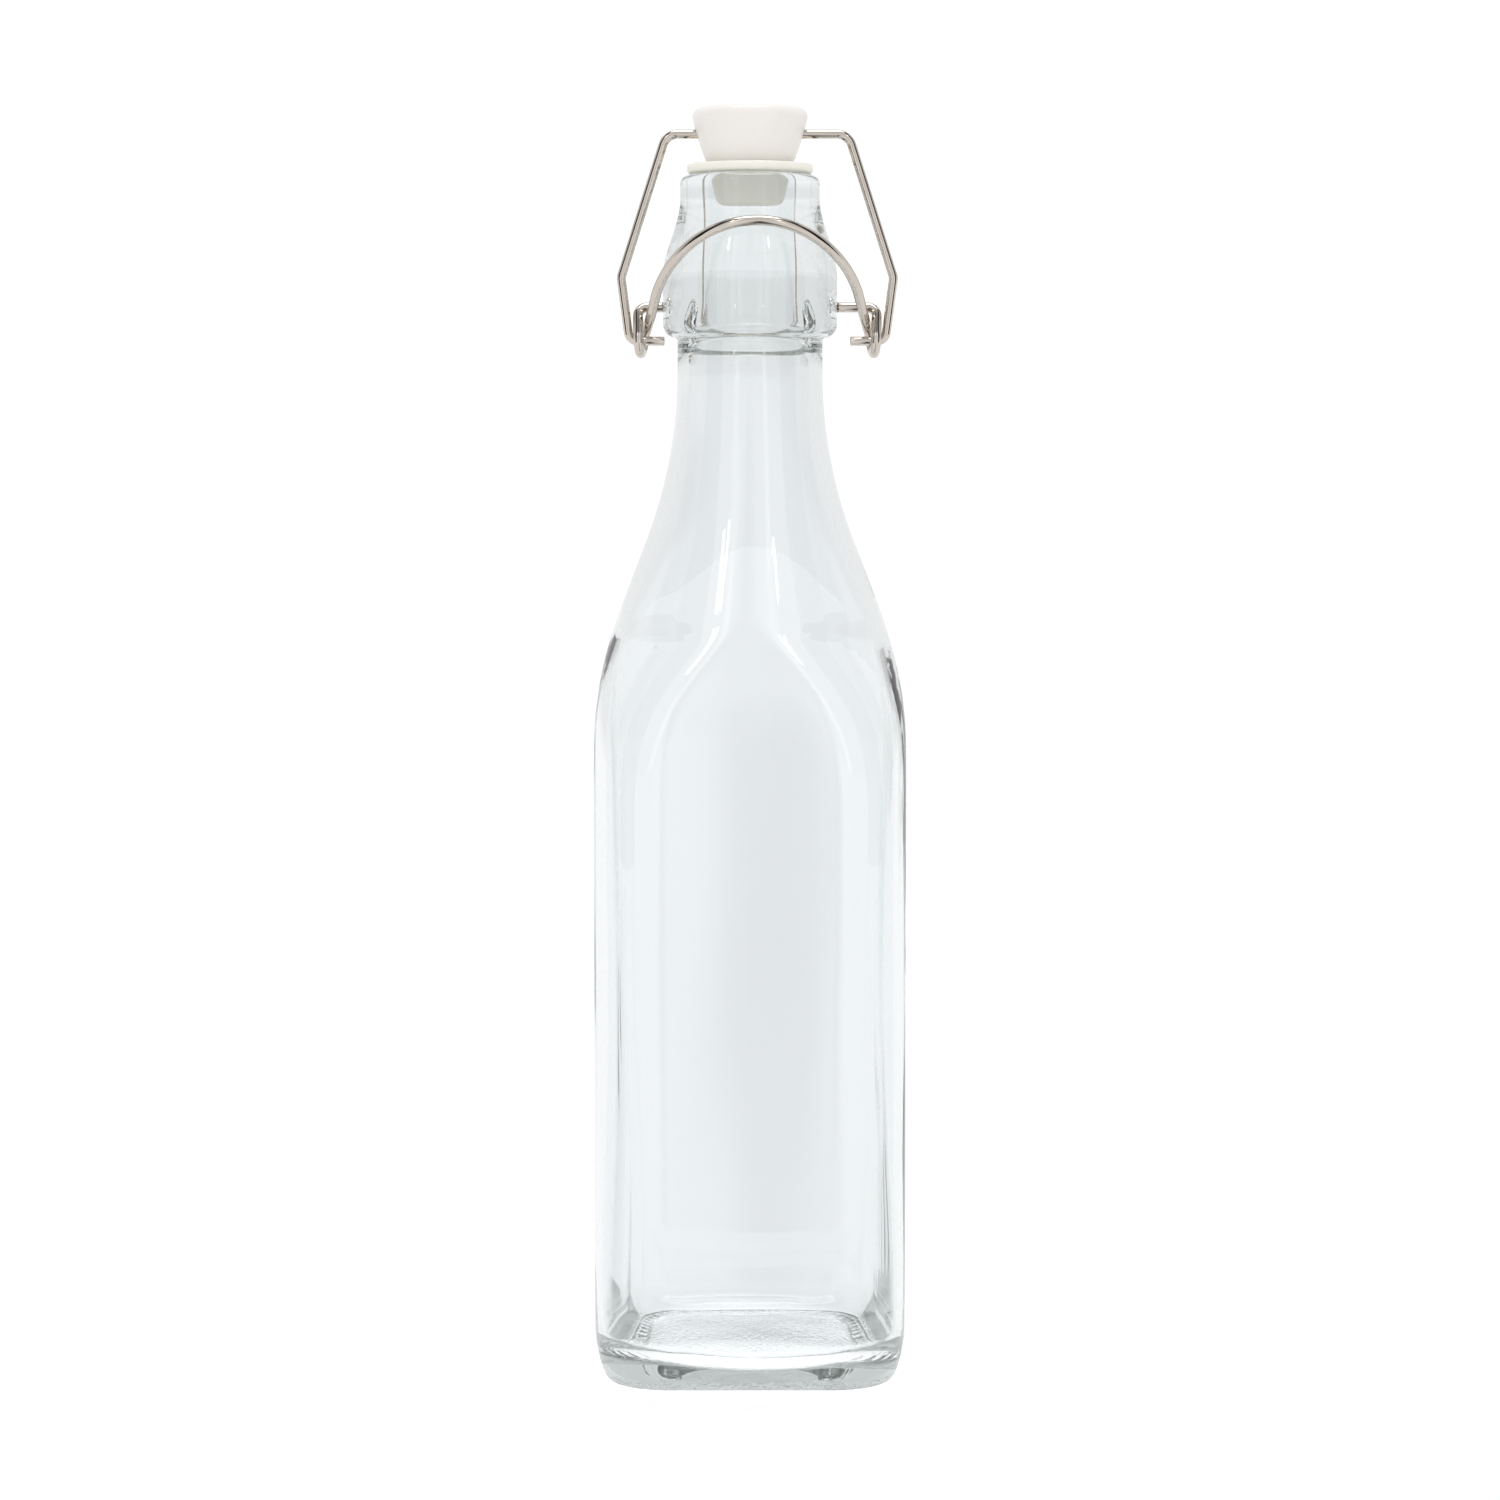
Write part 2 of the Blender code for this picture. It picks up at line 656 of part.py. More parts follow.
def seal_outline(base):
    """The soft seal: a disc for the rim, a plug for the bore and a pocket that snaps over the stem."""
    top = SEAL_TOP - base
    under = top - SEAL_THICKNESS
    end = under - PLUG_LENGTH
    bottom = CAP_BOTTOM - base
    stem_end = bottom - STEM_LENGTH - STEM_CLEARANCE
    bead = bottom - STEM_LENGTH + STEM_BEAD_HEIGHT
    gap = STEM_CLEARANCE
    points = [(0, end)]
    points += arc(
        (PLUG_END_RADIUS - PLUG_ROUND, end + PLUG_ROUND),
        (PLUG_ROUND, PLUG_ROUND),
        -math.pi / 2,
        0,
        4,
    )
    points += [
        (PLUG_RADIUS, under),
        (SEAL_RADIUS - SEAL_EDGE, under),
        (SEAL_RADIUS, under + SEAL_EDGE),
        (SEAL_RADIUS, top - SEAL_EDGE),
        (SEAL_RADIUS - SEAL_EDGE, top),
        (STEM_RADIUS + gap, top),
        (STEM_RADIUS + gap, bead + STEM_BEAD + gap),
        (STEM_RADIUS + STEM_BEAD + gap, bead + gap * 0.5),
        (STEM_RADIUS + STEM_BEAD + gap, bead - gap * 0.5),
        (STEM_RADIUS - STEM_TIP + gap, stem_end),
        (0, stem_end),
    ]
    return points


def make_stopper(cap_material, seal_material, hinge):
    """Cap and seal, both with their origin on the wire that the stopper rocks on."""
    base = hinge.matrix_world.translation.z
    cap = add_object(
        "stopper_cap", turned("stopper_cap", cap_outline(base)), cap_material, hinge
    )
    bm = bmesh.new()
    bmesh.ops.create_cone(
        bm,
        cap_ends=True,
        segments=16,
        radius1=YOKE_DIAMETER / 2 + WIRE_CLEARANCE,
        radius2=YOKE_DIAMETER / 2 + WIRE_CLEARANCE,
        depth=3 * CAP_RADIUS,
    )
    drill = add_object("wire_hole_cutter", finish_mesh("wire_hole_cutter", bm))
    drill.parent = hinge
    drill.rotation_euler = (0, math.pi / 2, 0)
    drill.hide_render = True
    drill.display_type = "WIRE"
    cut = cap.modifiers.new("wire_hole", "BOOLEAN")
    cut.operation = "DIFFERENCE"
    cut.object = drill
    add_object(
        "stopper_seal", turned("stopper_seal", seal_outline(base)), seal_material, hinge
    )


# ---------------------------------------------------------------- assembly


def main():
    clear_scene()
    glass = make_material("clear_glass", (0.93, 0.97, 0.95), 0.03, transmission=1.0, ior=1.52)
    steel = make_material("bright_wire", (0.78, 0.75, 0.71), 0.2, metallic=1.0)
    white = make_material("white_plastic", (0.93, 0.92, 0.9), 0.35)
    rubber = make_material("milky_seal", (0.85, 0.85, 0.78), 0.45, transmission=0.4, ior=1.41)

    make_bottle(glass)
    lever_hinge = pivot("lever_hinge", (0, 0, SOCKET_HEIGHT))
    hook_hinge = pivot("hook_hinge", (0, -HOOK_LEAD, YOKE_FOOT_HEIGHT), lever_hinge)
    stopper_hinge = pivot("stopper_hinge", (0, 0, YOKE_TOP_HEIGHT), hook_hinge)
    make_wire("lever_wire", lever_path(), LEVER_DIAMETER, steel, lever_hinge)
    make_wire("yoke_wire", yoke_path(), YOKE_DIAMETER, steel, hook_hinge)
    make_stopper(white, rubber, stopper_hinge)


main()
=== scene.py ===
# %% [markdown]
# # A square swing-top bottle
# Home brewers, wine makers and cordial makers keep drinks under this closure: a white stopper with a soft
# plug, held down by two bent wires. The frame that is loaded first holds five plain solids, the bodies they
# belong to and the hinges between them. Each part of this lesson puts a finished piece in the place of one
# plain solid, gives it the finish of the real thing, and lets it ride on its body.

# %% Load the frame
import json
import math

import bmesh
import bpy
from mathutils import Matrix, Vector, noise


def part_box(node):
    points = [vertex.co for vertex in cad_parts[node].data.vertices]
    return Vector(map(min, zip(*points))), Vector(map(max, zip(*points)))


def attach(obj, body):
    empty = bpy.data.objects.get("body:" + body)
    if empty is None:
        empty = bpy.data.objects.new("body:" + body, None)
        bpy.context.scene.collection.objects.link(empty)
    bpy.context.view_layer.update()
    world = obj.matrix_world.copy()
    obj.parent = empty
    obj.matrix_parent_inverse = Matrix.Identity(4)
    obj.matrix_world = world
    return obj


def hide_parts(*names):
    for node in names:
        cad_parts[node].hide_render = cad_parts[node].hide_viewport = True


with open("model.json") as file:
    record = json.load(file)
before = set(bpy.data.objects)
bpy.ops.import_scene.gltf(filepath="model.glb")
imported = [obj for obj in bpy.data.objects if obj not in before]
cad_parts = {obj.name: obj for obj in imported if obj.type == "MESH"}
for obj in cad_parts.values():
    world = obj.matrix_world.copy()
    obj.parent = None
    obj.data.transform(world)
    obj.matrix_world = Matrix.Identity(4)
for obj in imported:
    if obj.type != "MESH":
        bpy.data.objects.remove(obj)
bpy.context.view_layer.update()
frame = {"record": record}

# %% [markdown]
# ## Camera
# A bottle is photographed from well back with a long lens, so that its sides stay upright. The lens looks
# slightly down, from a little below the height of the neck. A shift lens could keep the sides exactly
# parallel, but a plain tilted camera gives the slight taper towards the foot that the eye expects.

# %% Camera
MM = 0.001
CAMERA_DISTANCE = 807 * MM
CAMERA_HEIGHT = 193 * MM
CAMERA_TILT = math.radians(4.6)
SENSOR_WIDTH = 36.0
FIELD_OF_VIEW = math.radians(21.7)

lens = bpy.data.cameras.new("studio_camera")
lens.sensor_width = SENSOR_WIDTH
lens.lens = SENSOR_WIDTH / 2 / math.tan(FIELD_OF_VIEW / 2)
camera = bpy.data.objects.new("studio_camera", lens)
bpy.context.scene.collection.objects.link(camera)
camera.location = (0, -CAMERA_DISTANCE, CAMERA_HEIGHT)
camera.rotation_euler = (math.radians(90) - CAMERA_TILT, 0, 0)
bpy.context.scene.camera = camera
print("lens", round(lens.lens, 1), "mm")

# %% [markdown]
# ## Small tools
# Three helpers serve every later cell. One turns a paint-chart colour, written in sRGB hex, into the linear
# numbers that a shader works with. One adds a node with its settings and its links in a single line, which
# keeps a material readable from top to bottom. One closes a bmesh into a smooth, named object.


# %% Colour, node and object helpers
def linear(hex_colour):
    channels = [int(hex_colour[i : i + 2], 16) / 255 for i in (1, 3, 5)]
    return tuple(c / 12.92 if c <= 0.04045 else ((c + 0.055) / 1.055) ** 2.4 for c in channels) + (1.0,)


def add(tree, kind, inputs=(), **settings):
    """One node, with its own settings, and with numbers, colours or other nodes' sockets on its inputs."""
    node = tree.nodes.new(kind)
    for name, value in settings.items():
        setattr(node, name, value)
    for key, value in dict(inputs).items():
        if isinstance(value, bpy.types.NodeSocket):
            tree.links.new(value, node.inputs[key])
        else:
            node.inputs[key].default_value = value
    return node


def new_material(name):
    material = bpy.data.materials.new(name)
    material.use_nodes = True
    tree = material.node_tree
    return material, tree, tree.nodes["Principled BSDF"]


def finished(name, bm, sharp_angle=math.radians(40)):
    bmesh.ops.recalc_face_normals(bm, faces=bm.faces)
    mesh = bpy.data.meshes.new(name)
    bm.to_mesh(mesh)
    bm.free()
    mesh.shade_smooth()
    mesh.set_sharp_from_angle(angle=sharp_angle)
    obj = bpy.data.objects.new(name, mesh)
    bpy.context.scene.collection.objects.link(obj)
    return obj


# %% [markdown]
# ## Studio
# Clear glass has no colour of its own to show. What the eye reads is the room in it, so the room is built
# with care: an opal light table that glows evenly, with a painted pool of brighter glow on it under the foot,
# a white tent all round, and greyer gaps between its panels. Two small softboxes give the shoulder its
# highlights, a dark flag gives the flat front a soft grey band, and two black cards give the bright wire the
# contrast that says metal. The camera itself sees a plain white background.

# %% Floor
FLOOR_RADIUS = 6.0
FLOOR_DROP = 0.12 * MM  # the ring of the foot must not share a plane with the floor, or it goes dark
floor_mesh = bmesh.new()
bmesh.ops.create_circle(floor_mesh, cap_ends=True, segments=96, radius=FLOOR_RADIUS)
bmesh.ops.translate(floor_mesh, verts=floor_mesh.verts, vec=(0, 0, -FLOOR_DROP))
floor = finished("floor", floor_mesh)
floor.data.polygons[0].use_smooth = False
opal, tree, shader = new_material("opal_acrylic_light_table")  # lit from below, so shadows stay faint
shader.inputs["Base Color"].default_value = linear("#7D7D7D")
shader.inputs["Roughness"].default_value = 0.9
shader.inputs["Specular IOR Level"].default_value = 0.1
shader.inputs["Emission Color"].default_value = linear("#FFFFFF")
PAINTED_POOL_EDGE = (30 * MM, 38 * MM)  # painted pool of light: a brighter disc of glow under the foot, in place of the light the glass gathers there
PAINTED_POOL_GLOW = 1.15
TABLE_GLOW = 0.8
# Painted pool of light: inside a disc under the foot the table glows brighter than its even glow, so the
# thick foot shows light.
from_axis = add(
    tree,
    "ShaderNodeVectorMath",
    {0: add(tree, "ShaderNodeTexCoord").outputs["Object"]},
    operation="LENGTH",
)
table_glow_with_painted_pool = add(
    tree,
    "ShaderNodeMapRange",
    {
        "Value": from_axis.outputs["Value"],
        "From Min": PAINTED_POOL_EDGE[0],
        "From Max": PAINTED_POOL_EDGE[1],
        "To Min": PAINTED_POOL_GLOW,
        "To Max": TABLE_GLOW,
    },
)
tree.links.new(table_glow_with_painted_pool.outputs[0], shader.inputs["Emission Strength"])
floor.data.materials.append(opal)

# %% White tent with greyer gaps
ROOM_FRONT = 0.83  # brightness of the cloth before the bottle, and of the cloth behind it
ROOM_BACK = 0.9
WINDOW = 1.5
LOW_GAP = 0.8  # brightness between the panels, near the floor and higher up
HIGH_GAP = 0.5
ZENITH = 3.0  # a soft light straight above
BACKDROP = 1.1  # what only the camera sees, a little past white
world = bpy.data.worlds.new("white_tent")
bpy.context.scene.world = world
world.use_nodes = True
tree = world.node_tree
tree.nodes.clear()


def ramp(tree, factor, stops):
    """Greys along a factor from 0 to 1. Each stop is (place, brightness)."""
    node = add(tree, "ShaderNodeValToRGB", {"Fac": factor})
    elements = node.color_ramp.elements
    while len(elements) < len(stops):
        elements.new(0.5)
    for element, (place, grey) in zip(elements, stops):
        element.position = place
        element.color = (grey, grey, grey, 1.0)
    return node.outputs["Color"]


def calculate(tree, operation, first, second=0.0):
    return add(tree, "ShaderNodeMath", {0: first, 1: second}, operation=operation).outputs[0]


def mixed(tree, factor, first, second, blend="MIX"):
    """Two colours mixed. The Mix node keeps its colour sockets at 6 and 7, and its colour output at 2."""
    settings = {"data_type": "RGBA", "blend_type": blend}
    return add(tree, "ShaderNodeMix", {0: factor, 6: first, 7: second}, **settings).outputs[2]


direction = add(tree, "ShaderNodeSeparateXYZ", {0: add(tree, "ShaderNodeTexCoord").outputs["Generated"]})
forward = calculate(tree, "MULTIPLY", direction.outputs["Y"], -1.0)
bearing = calculate(tree, "ARCTAN2", direction.outputs["X"], forward)
bearing = calculate(tree, "DIVIDE", calculate(tree, "ABSOLUTE", bearing), math.pi)


def panels(gap, start, end):
    """The tent from the front round to the back, with one gap on each side, given in degrees."""
    stops = [(0, ROOM_FRONT), (19, ROOM_FRONT), (21, WINDOW), (25, WINDOW), (27, ROOM_FRONT)]
    stops += [(start, ROOM_FRONT), (start + 5, gap), (end - 5, gap), (end, ROOM_BACK), (180, ROOM_BACK)]
    return ramp(tree, bearing, [(degrees / 180, grey) for degrees, grey in stops])


above = direction.outputs["Z"]
upper = ramp(tree, above, ((0.0, 0.0), (0.12, 0.0), (0.25, 1.0)))
tent = mixed(tree, upper, panels(LOW_GAP, 58, 84), panels(HIGH_GAP, 50, 104))
rise = ((0.0, 1.1), (0.03, 1.0), (0.78, 1.0), (0.81, 0.3), (0.86, 0.3), (0.9, 1.0))
room_light = mixed(tree, 1.0, tent, ramp(tree, above, rise), "MULTIPLY")
overhead = ramp(tree, above, ((0.0, 0.0), (0.92, 0.0), (0.95, ZENITH)))
room = add(
    tree,
    "ShaderNodeAddShader",
    {
        0: add(tree, "ShaderNodeBackground", {"Color": room_light}).outputs[0],
        1: add(tree, "ShaderNodeBackground", {"Color": overhead}).outputs[0],
    },
)
plain = add(tree, "ShaderNodeBackground", {"Color": (1, 1, 1, 1), "Strength": BACKDROP})
seen = add(tree, "ShaderNodeLightPath").outputs["Is Camera Ray"]
either = add(tree, "ShaderNodeMixShader", {0: seen, 1: room.outputs[0], 2: plain.outputs[0]})
add(tree, "ShaderNodeOutputWorld", {"Surface": either.outputs[0]})
bpy.context.scene.view_settings.view_transform = "Standard"
cycles = bpy.context.scene.cycles  # light runs along inside a thick foot, so it may turn many times
cycles.max_bounces = 32
cycles.glossy_bounces = 24
cycles.transmission_bounces = 24

# %% Two softboxes, which the shoulder mirrors as a pair of long drops
SOFTBOXES = ((-33, 0.05, 0.15), (29, 0.04, 0.09))  # degrees to the right of the camera, width and height
SOFTBOX_ELEVATION = math.radians(40)
SOFTBOX_DISTANCE = 1.0
SOFTBOX_RADIANCE = 6.0
SHOULDER = Vector((0, 0, 160 * MM))
for degrees, width, tall in SOFTBOXES:
    softbox = bpy.data.lights.new("softbox", "AREA")
    softbox.shape = "RECTANGLE"
    softbox.size, softbox.size_y = width, tall
    softbox.energy = SOFTBOX_RADIANCE * math.pi * softbox.size * softbox.size_y
    lamp = bpy.data.objects.new("softbox", softbox)
    bpy.context.scene.collection.objects.link(lamp)
    level = math.cos(SOFTBOX_ELEVATION)
    bearing = math.radians(degrees)
    away = Vector((math.sin(bearing) * level, -math.cos(bearing) * level, math.sin(SOFTBOX_ELEVATION)))
    lamp.location = SHOULDER + away * SOFTBOX_DISTANCE
    lamp.rotation_euler = away.to_track_quat("Z", "Y").to_euler()
    lamp.visible_camera = False

# %% A dark flag, which the flat front of the glass mirrors as a soft grey band
FLAG_WIDTH = 66 * MM
FLAG_CENTRE = 6 * MM
FLAG_FOOT = Vector((FLAG_CENTRE, -48 * MM, 2 * MM))  # middle of its lower edge, close before the bottle
FLAG_RISE = 200 * MM
FLAG_RUN = 220 * MM
flag_mesh = bmesh.new()
bmesh.ops.create_grid(flag_mesh, x_segments=1, y_segments=1, size=0.5)
bmesh.ops.translate(flag_mesh, verts=flag_mesh.verts, vec=(0, -0.5, 0))
bmesh.ops.scale(flag_mesh, verts=flag_mesh.verts, vec=(FLAG_WIDTH, math.hypot(FLAG_RISE, FLAG_RUN), 1))
lean_back = Matrix.Rotation(-math.atan2(FLAG_RISE, FLAG_RUN), 3, "X")
bmesh.ops.rotate(flag_mesh, verts=flag_mesh.verts, cent=(0, 0, 0), matrix=lean_back)
bmesh.ops.translate(flag_mesh, verts=flag_mesh.verts, vec=FLAG_FOOT)
flag = finished("dark_flag", flag_mesh)
flag_cloth, tree, shader = new_material("black_cloth_on_a_flag")
shader.inputs["Base Color"].default_value = linear("#1A1A1C")
place = add(tree, "ShaderNodeSeparateXYZ", {0: add(tree, "ShaderNodeTexCoord").outputs["Object"]})
off_centre = calculate(tree, "ABSOLUTE", calculate(tree, "SUBTRACT", place.outputs["X"], FLAG_CENTRE))
off_centre = calculate(tree, "DIVIDE", off_centre, FLAG_WIDTH / 2)
cover = ramp(tree, off_centre, ((0.0, 1.0), (0.18, 0.9), (0.5, 0.35), (1.0, 0.0)))
height = calculate(tree, "DIVIDE", place.outputs["Z"], FLAG_RISE)
fade = ramp(tree, height, ((0.0, 0.75), (0.3, 1.0), (0.6, 1.0), (1.0, 0.0)))
# The flag shows only where light was mirrored on its way, so that nobody looks through the bottle at it.
was_mirrored = calculate(tree, "MINIMUM", add(tree, "ShaderNodeLightPath").outputs["Glossy Depth"], 1.0)
shown = mixed(tree, 1.0, mixed(tree, 1.0, cover, fade, "MULTIPLY"), was_mirrored, "MULTIPLY")
tree.links.new(shown, shader.inputs["Alpha"])
flag.data.materials.append(flag_cloth)
flag.visible_camera = False
flag.visible_shadow = False
flag.visible_diffuse = False

# %% Two black cards, which only a mirror sees, so that the wire gets its dark lines
CARD_BEARINGS = (-58, 62)  # degrees to the right of the camera
CARD_DISTANCE = 1.0
CARD_WIDTH = 0.5
CARD_HEIGHT = 2.2
card_cloth, tree, shader = new_material("black_velvet_card")
shader.inputs["Base Color"].default_value = linear("#0C0C0E")
shader.inputs["Roughness"].default_value = 1.0
shader.inputs["Specular IOR Level"].default_value = 0.0
for degrees in CARD_BEARINGS:
    card_mesh = bmesh.new()
    bmesh.ops.create_grid(card_mesh, x_segments=1, y_segments=1, size=0.5)
    bmesh.ops.scale(card_mesh, verts=card_mesh.verts, vec=(CARD_WIDTH, CARD_HEIGHT, 1))
    upright = Matrix.Rotation(math.pi / 2, 3, "X")
    bmesh.ops.rotate(card_mesh, verts=card_mesh.verts, cent=(0, 0, 0), matrix=upright)
    bmesh.ops.translate(card_mesh, verts=card_mesh.verts, vec=(0, -CARD_DISTANCE, CARD_HEIGHT / 2))
    swing = Matrix.Rotation(math.radians(degrees), 3, "Z")
    bmesh.ops.rotate(card_mesh, verts=card_mesh.verts, cent=(0, 0, 0), matrix=swing)
    card = finished("black_card", card_mesh)
    card.data.materials.append(card_cloth)
    card.visible_camera = card.visible_diffuse = card.visible_shadow = card.visible_transmission = False

# %% [markdown]
# ## Glass
# The bottle is blown and pressed in one piece, so it is one closed shell: up the outside from the middle of
# the foot, over the rim, and down the inside to the middle of the floor. It could be turned on a lathe, but
# the body is square, so a ring of vertices is extruded upwards instead, and each new ring is moved to its own
# outline. Each vertex remembers its turn round the bottle, in quarters, in a custom layer that the extrusion
# hands on.

# %% Outline of a section
COLUMNS = 224
BODY_HALF = 31.65 * MM
BODY_CORNER = 13.5 * MM
FULL_OFFSET = BODY_HALF - BODY_CORNER  # from the axis to a corner's centre, along X and along Y


def on_section(turn, half, offset):
    """Place on a square with rounded corners. turn counts quarters from the middle of the +X flat."""
    quarter, share = divmod(turn, 1.0)
    radius = half - offset
    bend = radius * math.pi / 2
    along = share * (2 * offset + bend)
    if along < offset:
        x, y = half, along
    elif along <= offset + bend:
        angle = (along - offset) / radius
        x, y = offset + radius * math.cos(angle), offset + radius * math.sin(angle)
    else:
        x, y = 2 * offset + bend - along, half
    spin = quarter * math.pi / 2
    return Vector((x * math.cos(spin) - y * math.sin(spin), x * math.sin(spin) + y * math.cos(spin), 0))


# %% [markdown]
# The side view is a straight side, a wide bend, a short slant and a wide bend the other way into the neck.
# Each flat ends in an arch, because the corners give up their squareness quickly there.

# %% Side view of the body and the shoulder
SHOULDER_START = 130.8 * MM
SHOULDER_LEAN = math.radians(21)
OUTER_BEND = 75 * MM
INNER_BEND = 98 * MM
NECK_RADIUS = 14.9 * MM
ARCH_START = 115 * MM
ARCH_TIP = 154 * MM
WALL = 2.4 * MM  # thinner than the plain solid's 3 mm, since a thick wall draws its outline too dark

slant = (
    BODY_HALF - NECK_RADIUS - (OUTER_BEND + INNER_BEND) * (1 - math.cos(SHOULDER_LEAN))
) / math.tan(SHOULDER_LEAN)
SLANT_START = SHOULDER_START + OUTER_BEND * math.sin(SHOULDER_LEAN)
SLANT_END = SLANT_START + slant
SHOULDER_END = SLANT_END + INNER_BEND * math.sin(SHOULDER_LEAN)


def side(z):
    """Half width of the glass across the flats at height z."""
    if z <= SHOULDER_START:
        return BODY_HALF
    if z <= SLANT_START:
        return BODY_HALF - OUTER_BEND + math.sqrt(OUTER_BEND**2 - (z - SHOULDER_START) ** 2)
    if z <= SLANT_END:
        top = BODY_HALF - OUTER_BEND * (1 - math.cos(SHOULDER_LEAN))
        return top - (z - SLANT_START) * math.tan(SHOULDER_LEAN)
    if z <= SHOULDER_END:
        return NECK_RADIUS + INNER_BEND - math.sqrt(INNER_BEND**2 - (SHOULDER_END - z) ** 2)
    return NECK_RADIUS


def corner_offset(z):
    rise = max(0.0, min(1.0, (z - ARCH_START) / (ARCH_TIP - ARCH_START)))
    return FULL_OFFSET * (1 - rise**2.8) ** 1.4


def between(start, end, count):
    """count heights after start, the last of which is end."""
    return [start + (end - start) * (i + 1) / count for i in range(count)]


def curve(centre, radii, start, end, count):
    """Points of a quarter of a circle or ellipse as (across, up), its first point left out."""
    angles = between(start, end, count)
    return [(centre[0] + radii[0] * math.cos(a), centre[1] + radii[1] * math.sin(a)) for a in angles]


def ease(t):
    t = max(0.0, min(1.0, t))
    return t * t * (3 - 2 * t)


print("shoulder from", round(SHOULDER_START * 1000), "to", round(SHOULDER_END * 1000, 1), "mm")

# %% Sections of the outside, from the middle of the foot to the rim
HEEL_INSET = 3.6 * MM
HEEL_HEIGHT = 13 * MM
STANDING_HALF = BODY_HALF - HEEL_INSET
STANDING_OFFSET = STANDING_HALF - 12.6 * MM
STANDING_RING = 4.8 * MM
PUSH_UP = 2.5 * MM
NECK_TOP = 212.9 * MM
COLLAR_RADIUS = 17.9 * MM
COLLAR_FILLET = 2.9 * MM
COLLAR_STEP = 0.4 * MM
COLLAR_TOP = 224.2 * MM
COLLAR_BULGE = 1.1 * MM
NECK_FLARE = (0.7 * MM, 0.9 * MM)  # small fillet under the collar, across and up
LIP_RADIUS = 14.3 * MM
LIP_BOTTOM = 240.6 * MM
RIM = 246 * MM
RIM_ROUND = 1.9 * MM


def collar_radius(z):
    """The collar narrows towards the lip in a soft S with a little belly."""
    t = (z - COLLAR_TOP) / (LIP_BOTTOM - COLLAR_TOP)
    return COLLAR_RADIUS + (LIP_RADIUS - COLLAR_RADIUS) * ease(t) + COLLAR_BULGE * t * (1 - t)


def foot(half, z):
    if half < STANDING_HALF:
        return half, STANDING_OFFSET * half / STANDING_HALF, z
    share = (half - STANDING_HALF) / HEEL_INSET
    return half, STANDING_OFFSET + (FULL_OFFSET - STANDING_OFFSET) * share, z


hollow_half = STANDING_HALF - STANDING_RING
outside = [foot(hollow_half * s, PUSH_UP * (1 - s**2)) for s in between(0.0, 1.0, 12)]
ring_round = 0.5 * MM  # the standing ring is a little crowned, so that its middle touches the table
outside[-1] = foot(hollow_half, ring_round)
outside += [
    foot(hollow_half + STANDING_RING * t, ring_round * (2 * t - 1) ** 4) for t in between(0.0, 1.0, 8)
]
heel = curve((STANDING_HALF, HEEL_HEIGHT), (HEEL_INSET, HEEL_HEIGHT), -math.pi / 2, 0, 22)
outside += [foot(half, max(z, ring_round)) for half, z in heel]
body_heights = between(HEEL_HEIGHT, ARCH_START, 26)
shoulder_heights = between(ARCH_START, SHOULDER_START, 8) + between(SHOULDER_START, SHOULDER_END, 40)
outside += [(side(z), corner_offset(z), z) for z in body_heights + shoulder_heights]
flare_out, flare_up = NECK_FLARE
flare_start = NECK_TOP - flare_up
turned = [(NECK_RADIUS, z) for z in between(SHOULDER_END, flare_start, 4)]
turned += curve((NECK_RADIUS + flare_out, flare_start), (-flare_out, flare_up), 0, math.pi / 2, 5)
fillet_across = COLLAR_FILLET - COLLAR_STEP
fillet_centre = (COLLAR_RADIUS - fillet_across, NECK_TOP + COLLAR_FILLET)
turned += curve(fillet_centre, (fillet_across, COLLAR_FILLET), -math.pi / 2, 0, 14)
turned += [(COLLAR_RADIUS, z) for z in between(NECK_TOP + COLLAR_FILLET, COLLAR_TOP, 8)]
turned += [(collar_radius(z), z) for z in between(COLLAR_TOP, LIP_BOTTOM, 26)]
turned += [(LIP_RADIUS, z) for z in between(LIP_BOTTOM, RIM - RIM_ROUND, 3)]
turned += curve((LIP_RADIUS - RIM_ROUND, RIM - RIM_ROUND), (RIM_ROUND, RIM_ROUND), 0, math.pi / 2, 10)
outside += [(radius, 0.0, z) for radius, z in turned]
print(len(outside), "sections outside")

# %% Sections of the inside, from the rim down to the middle of the floor
MOUTH_ROUND = 1.4 * MM
BORE_RADIUS = 9.2 * MM
BORE_BOTTOM = 222 * MM
FLOOR = 4.5 * MM
FLOOR_DOME = 1.6 * MM
INNER_HEEL = 7.5 * MM

bore = curve((BORE_RADIUS + MOUTH_ROUND, RIM - MOUTH_ROUND), (-MOUTH_ROUND, MOUTH_ROUND), math.pi / 2, 0, 8)
bore += [(BORE_RADIUS, z) for z in between(RIM - MOUTH_ROUND, BORE_BOTTOM, 10)]
for t in between(0.0, 1.0, 14):
    radius = BORE_RADIUS + (NECK_RADIUS - WALL - BORE_RADIUS) * ease(t)
    bore.append((radius, BORE_BOTTOM + (SHOULDER_END - BORE_BOTTOM) * t))
inside = [(radius, 0.0, z) for radius, z in bore]
down = (body_heights + shoulder_heights)[::-1][1:]
inside += [(side(z) - WALL, min(corner_offset(z), side(z) - WALL), z) for z in down]
inner_half = BODY_HALF - WALL
floor_half = inner_half - INNER_HEEL
FLOOR_SQUARENESS = 0.35  # the glass rounds the floor off, far more than the outside
floor_offset = floor_half * FLOOR_SQUARENESS
inside = [ring for ring in inside if ring[2] > FLOOR + INNER_HEEL + 0.5 * MM]
for half, z in curve((floor_half, FLOOR + INNER_HEEL), (INNER_HEEL, INNER_HEEL), 0, -math.pi / 2, 14):
    share = (half - floor_half) / INNER_HEEL
    inside.append((half, floor_offset + (FULL_OFFSET - floor_offset) * share, z))
inside += [
    (floor_half * s, floor_offset * s * s, FLOOR + FLOOR_DOME * (1 - s**2))
    for s in between(1.0, 0.0, 18)[:-1]
]
print(len(inside), "sections inside")

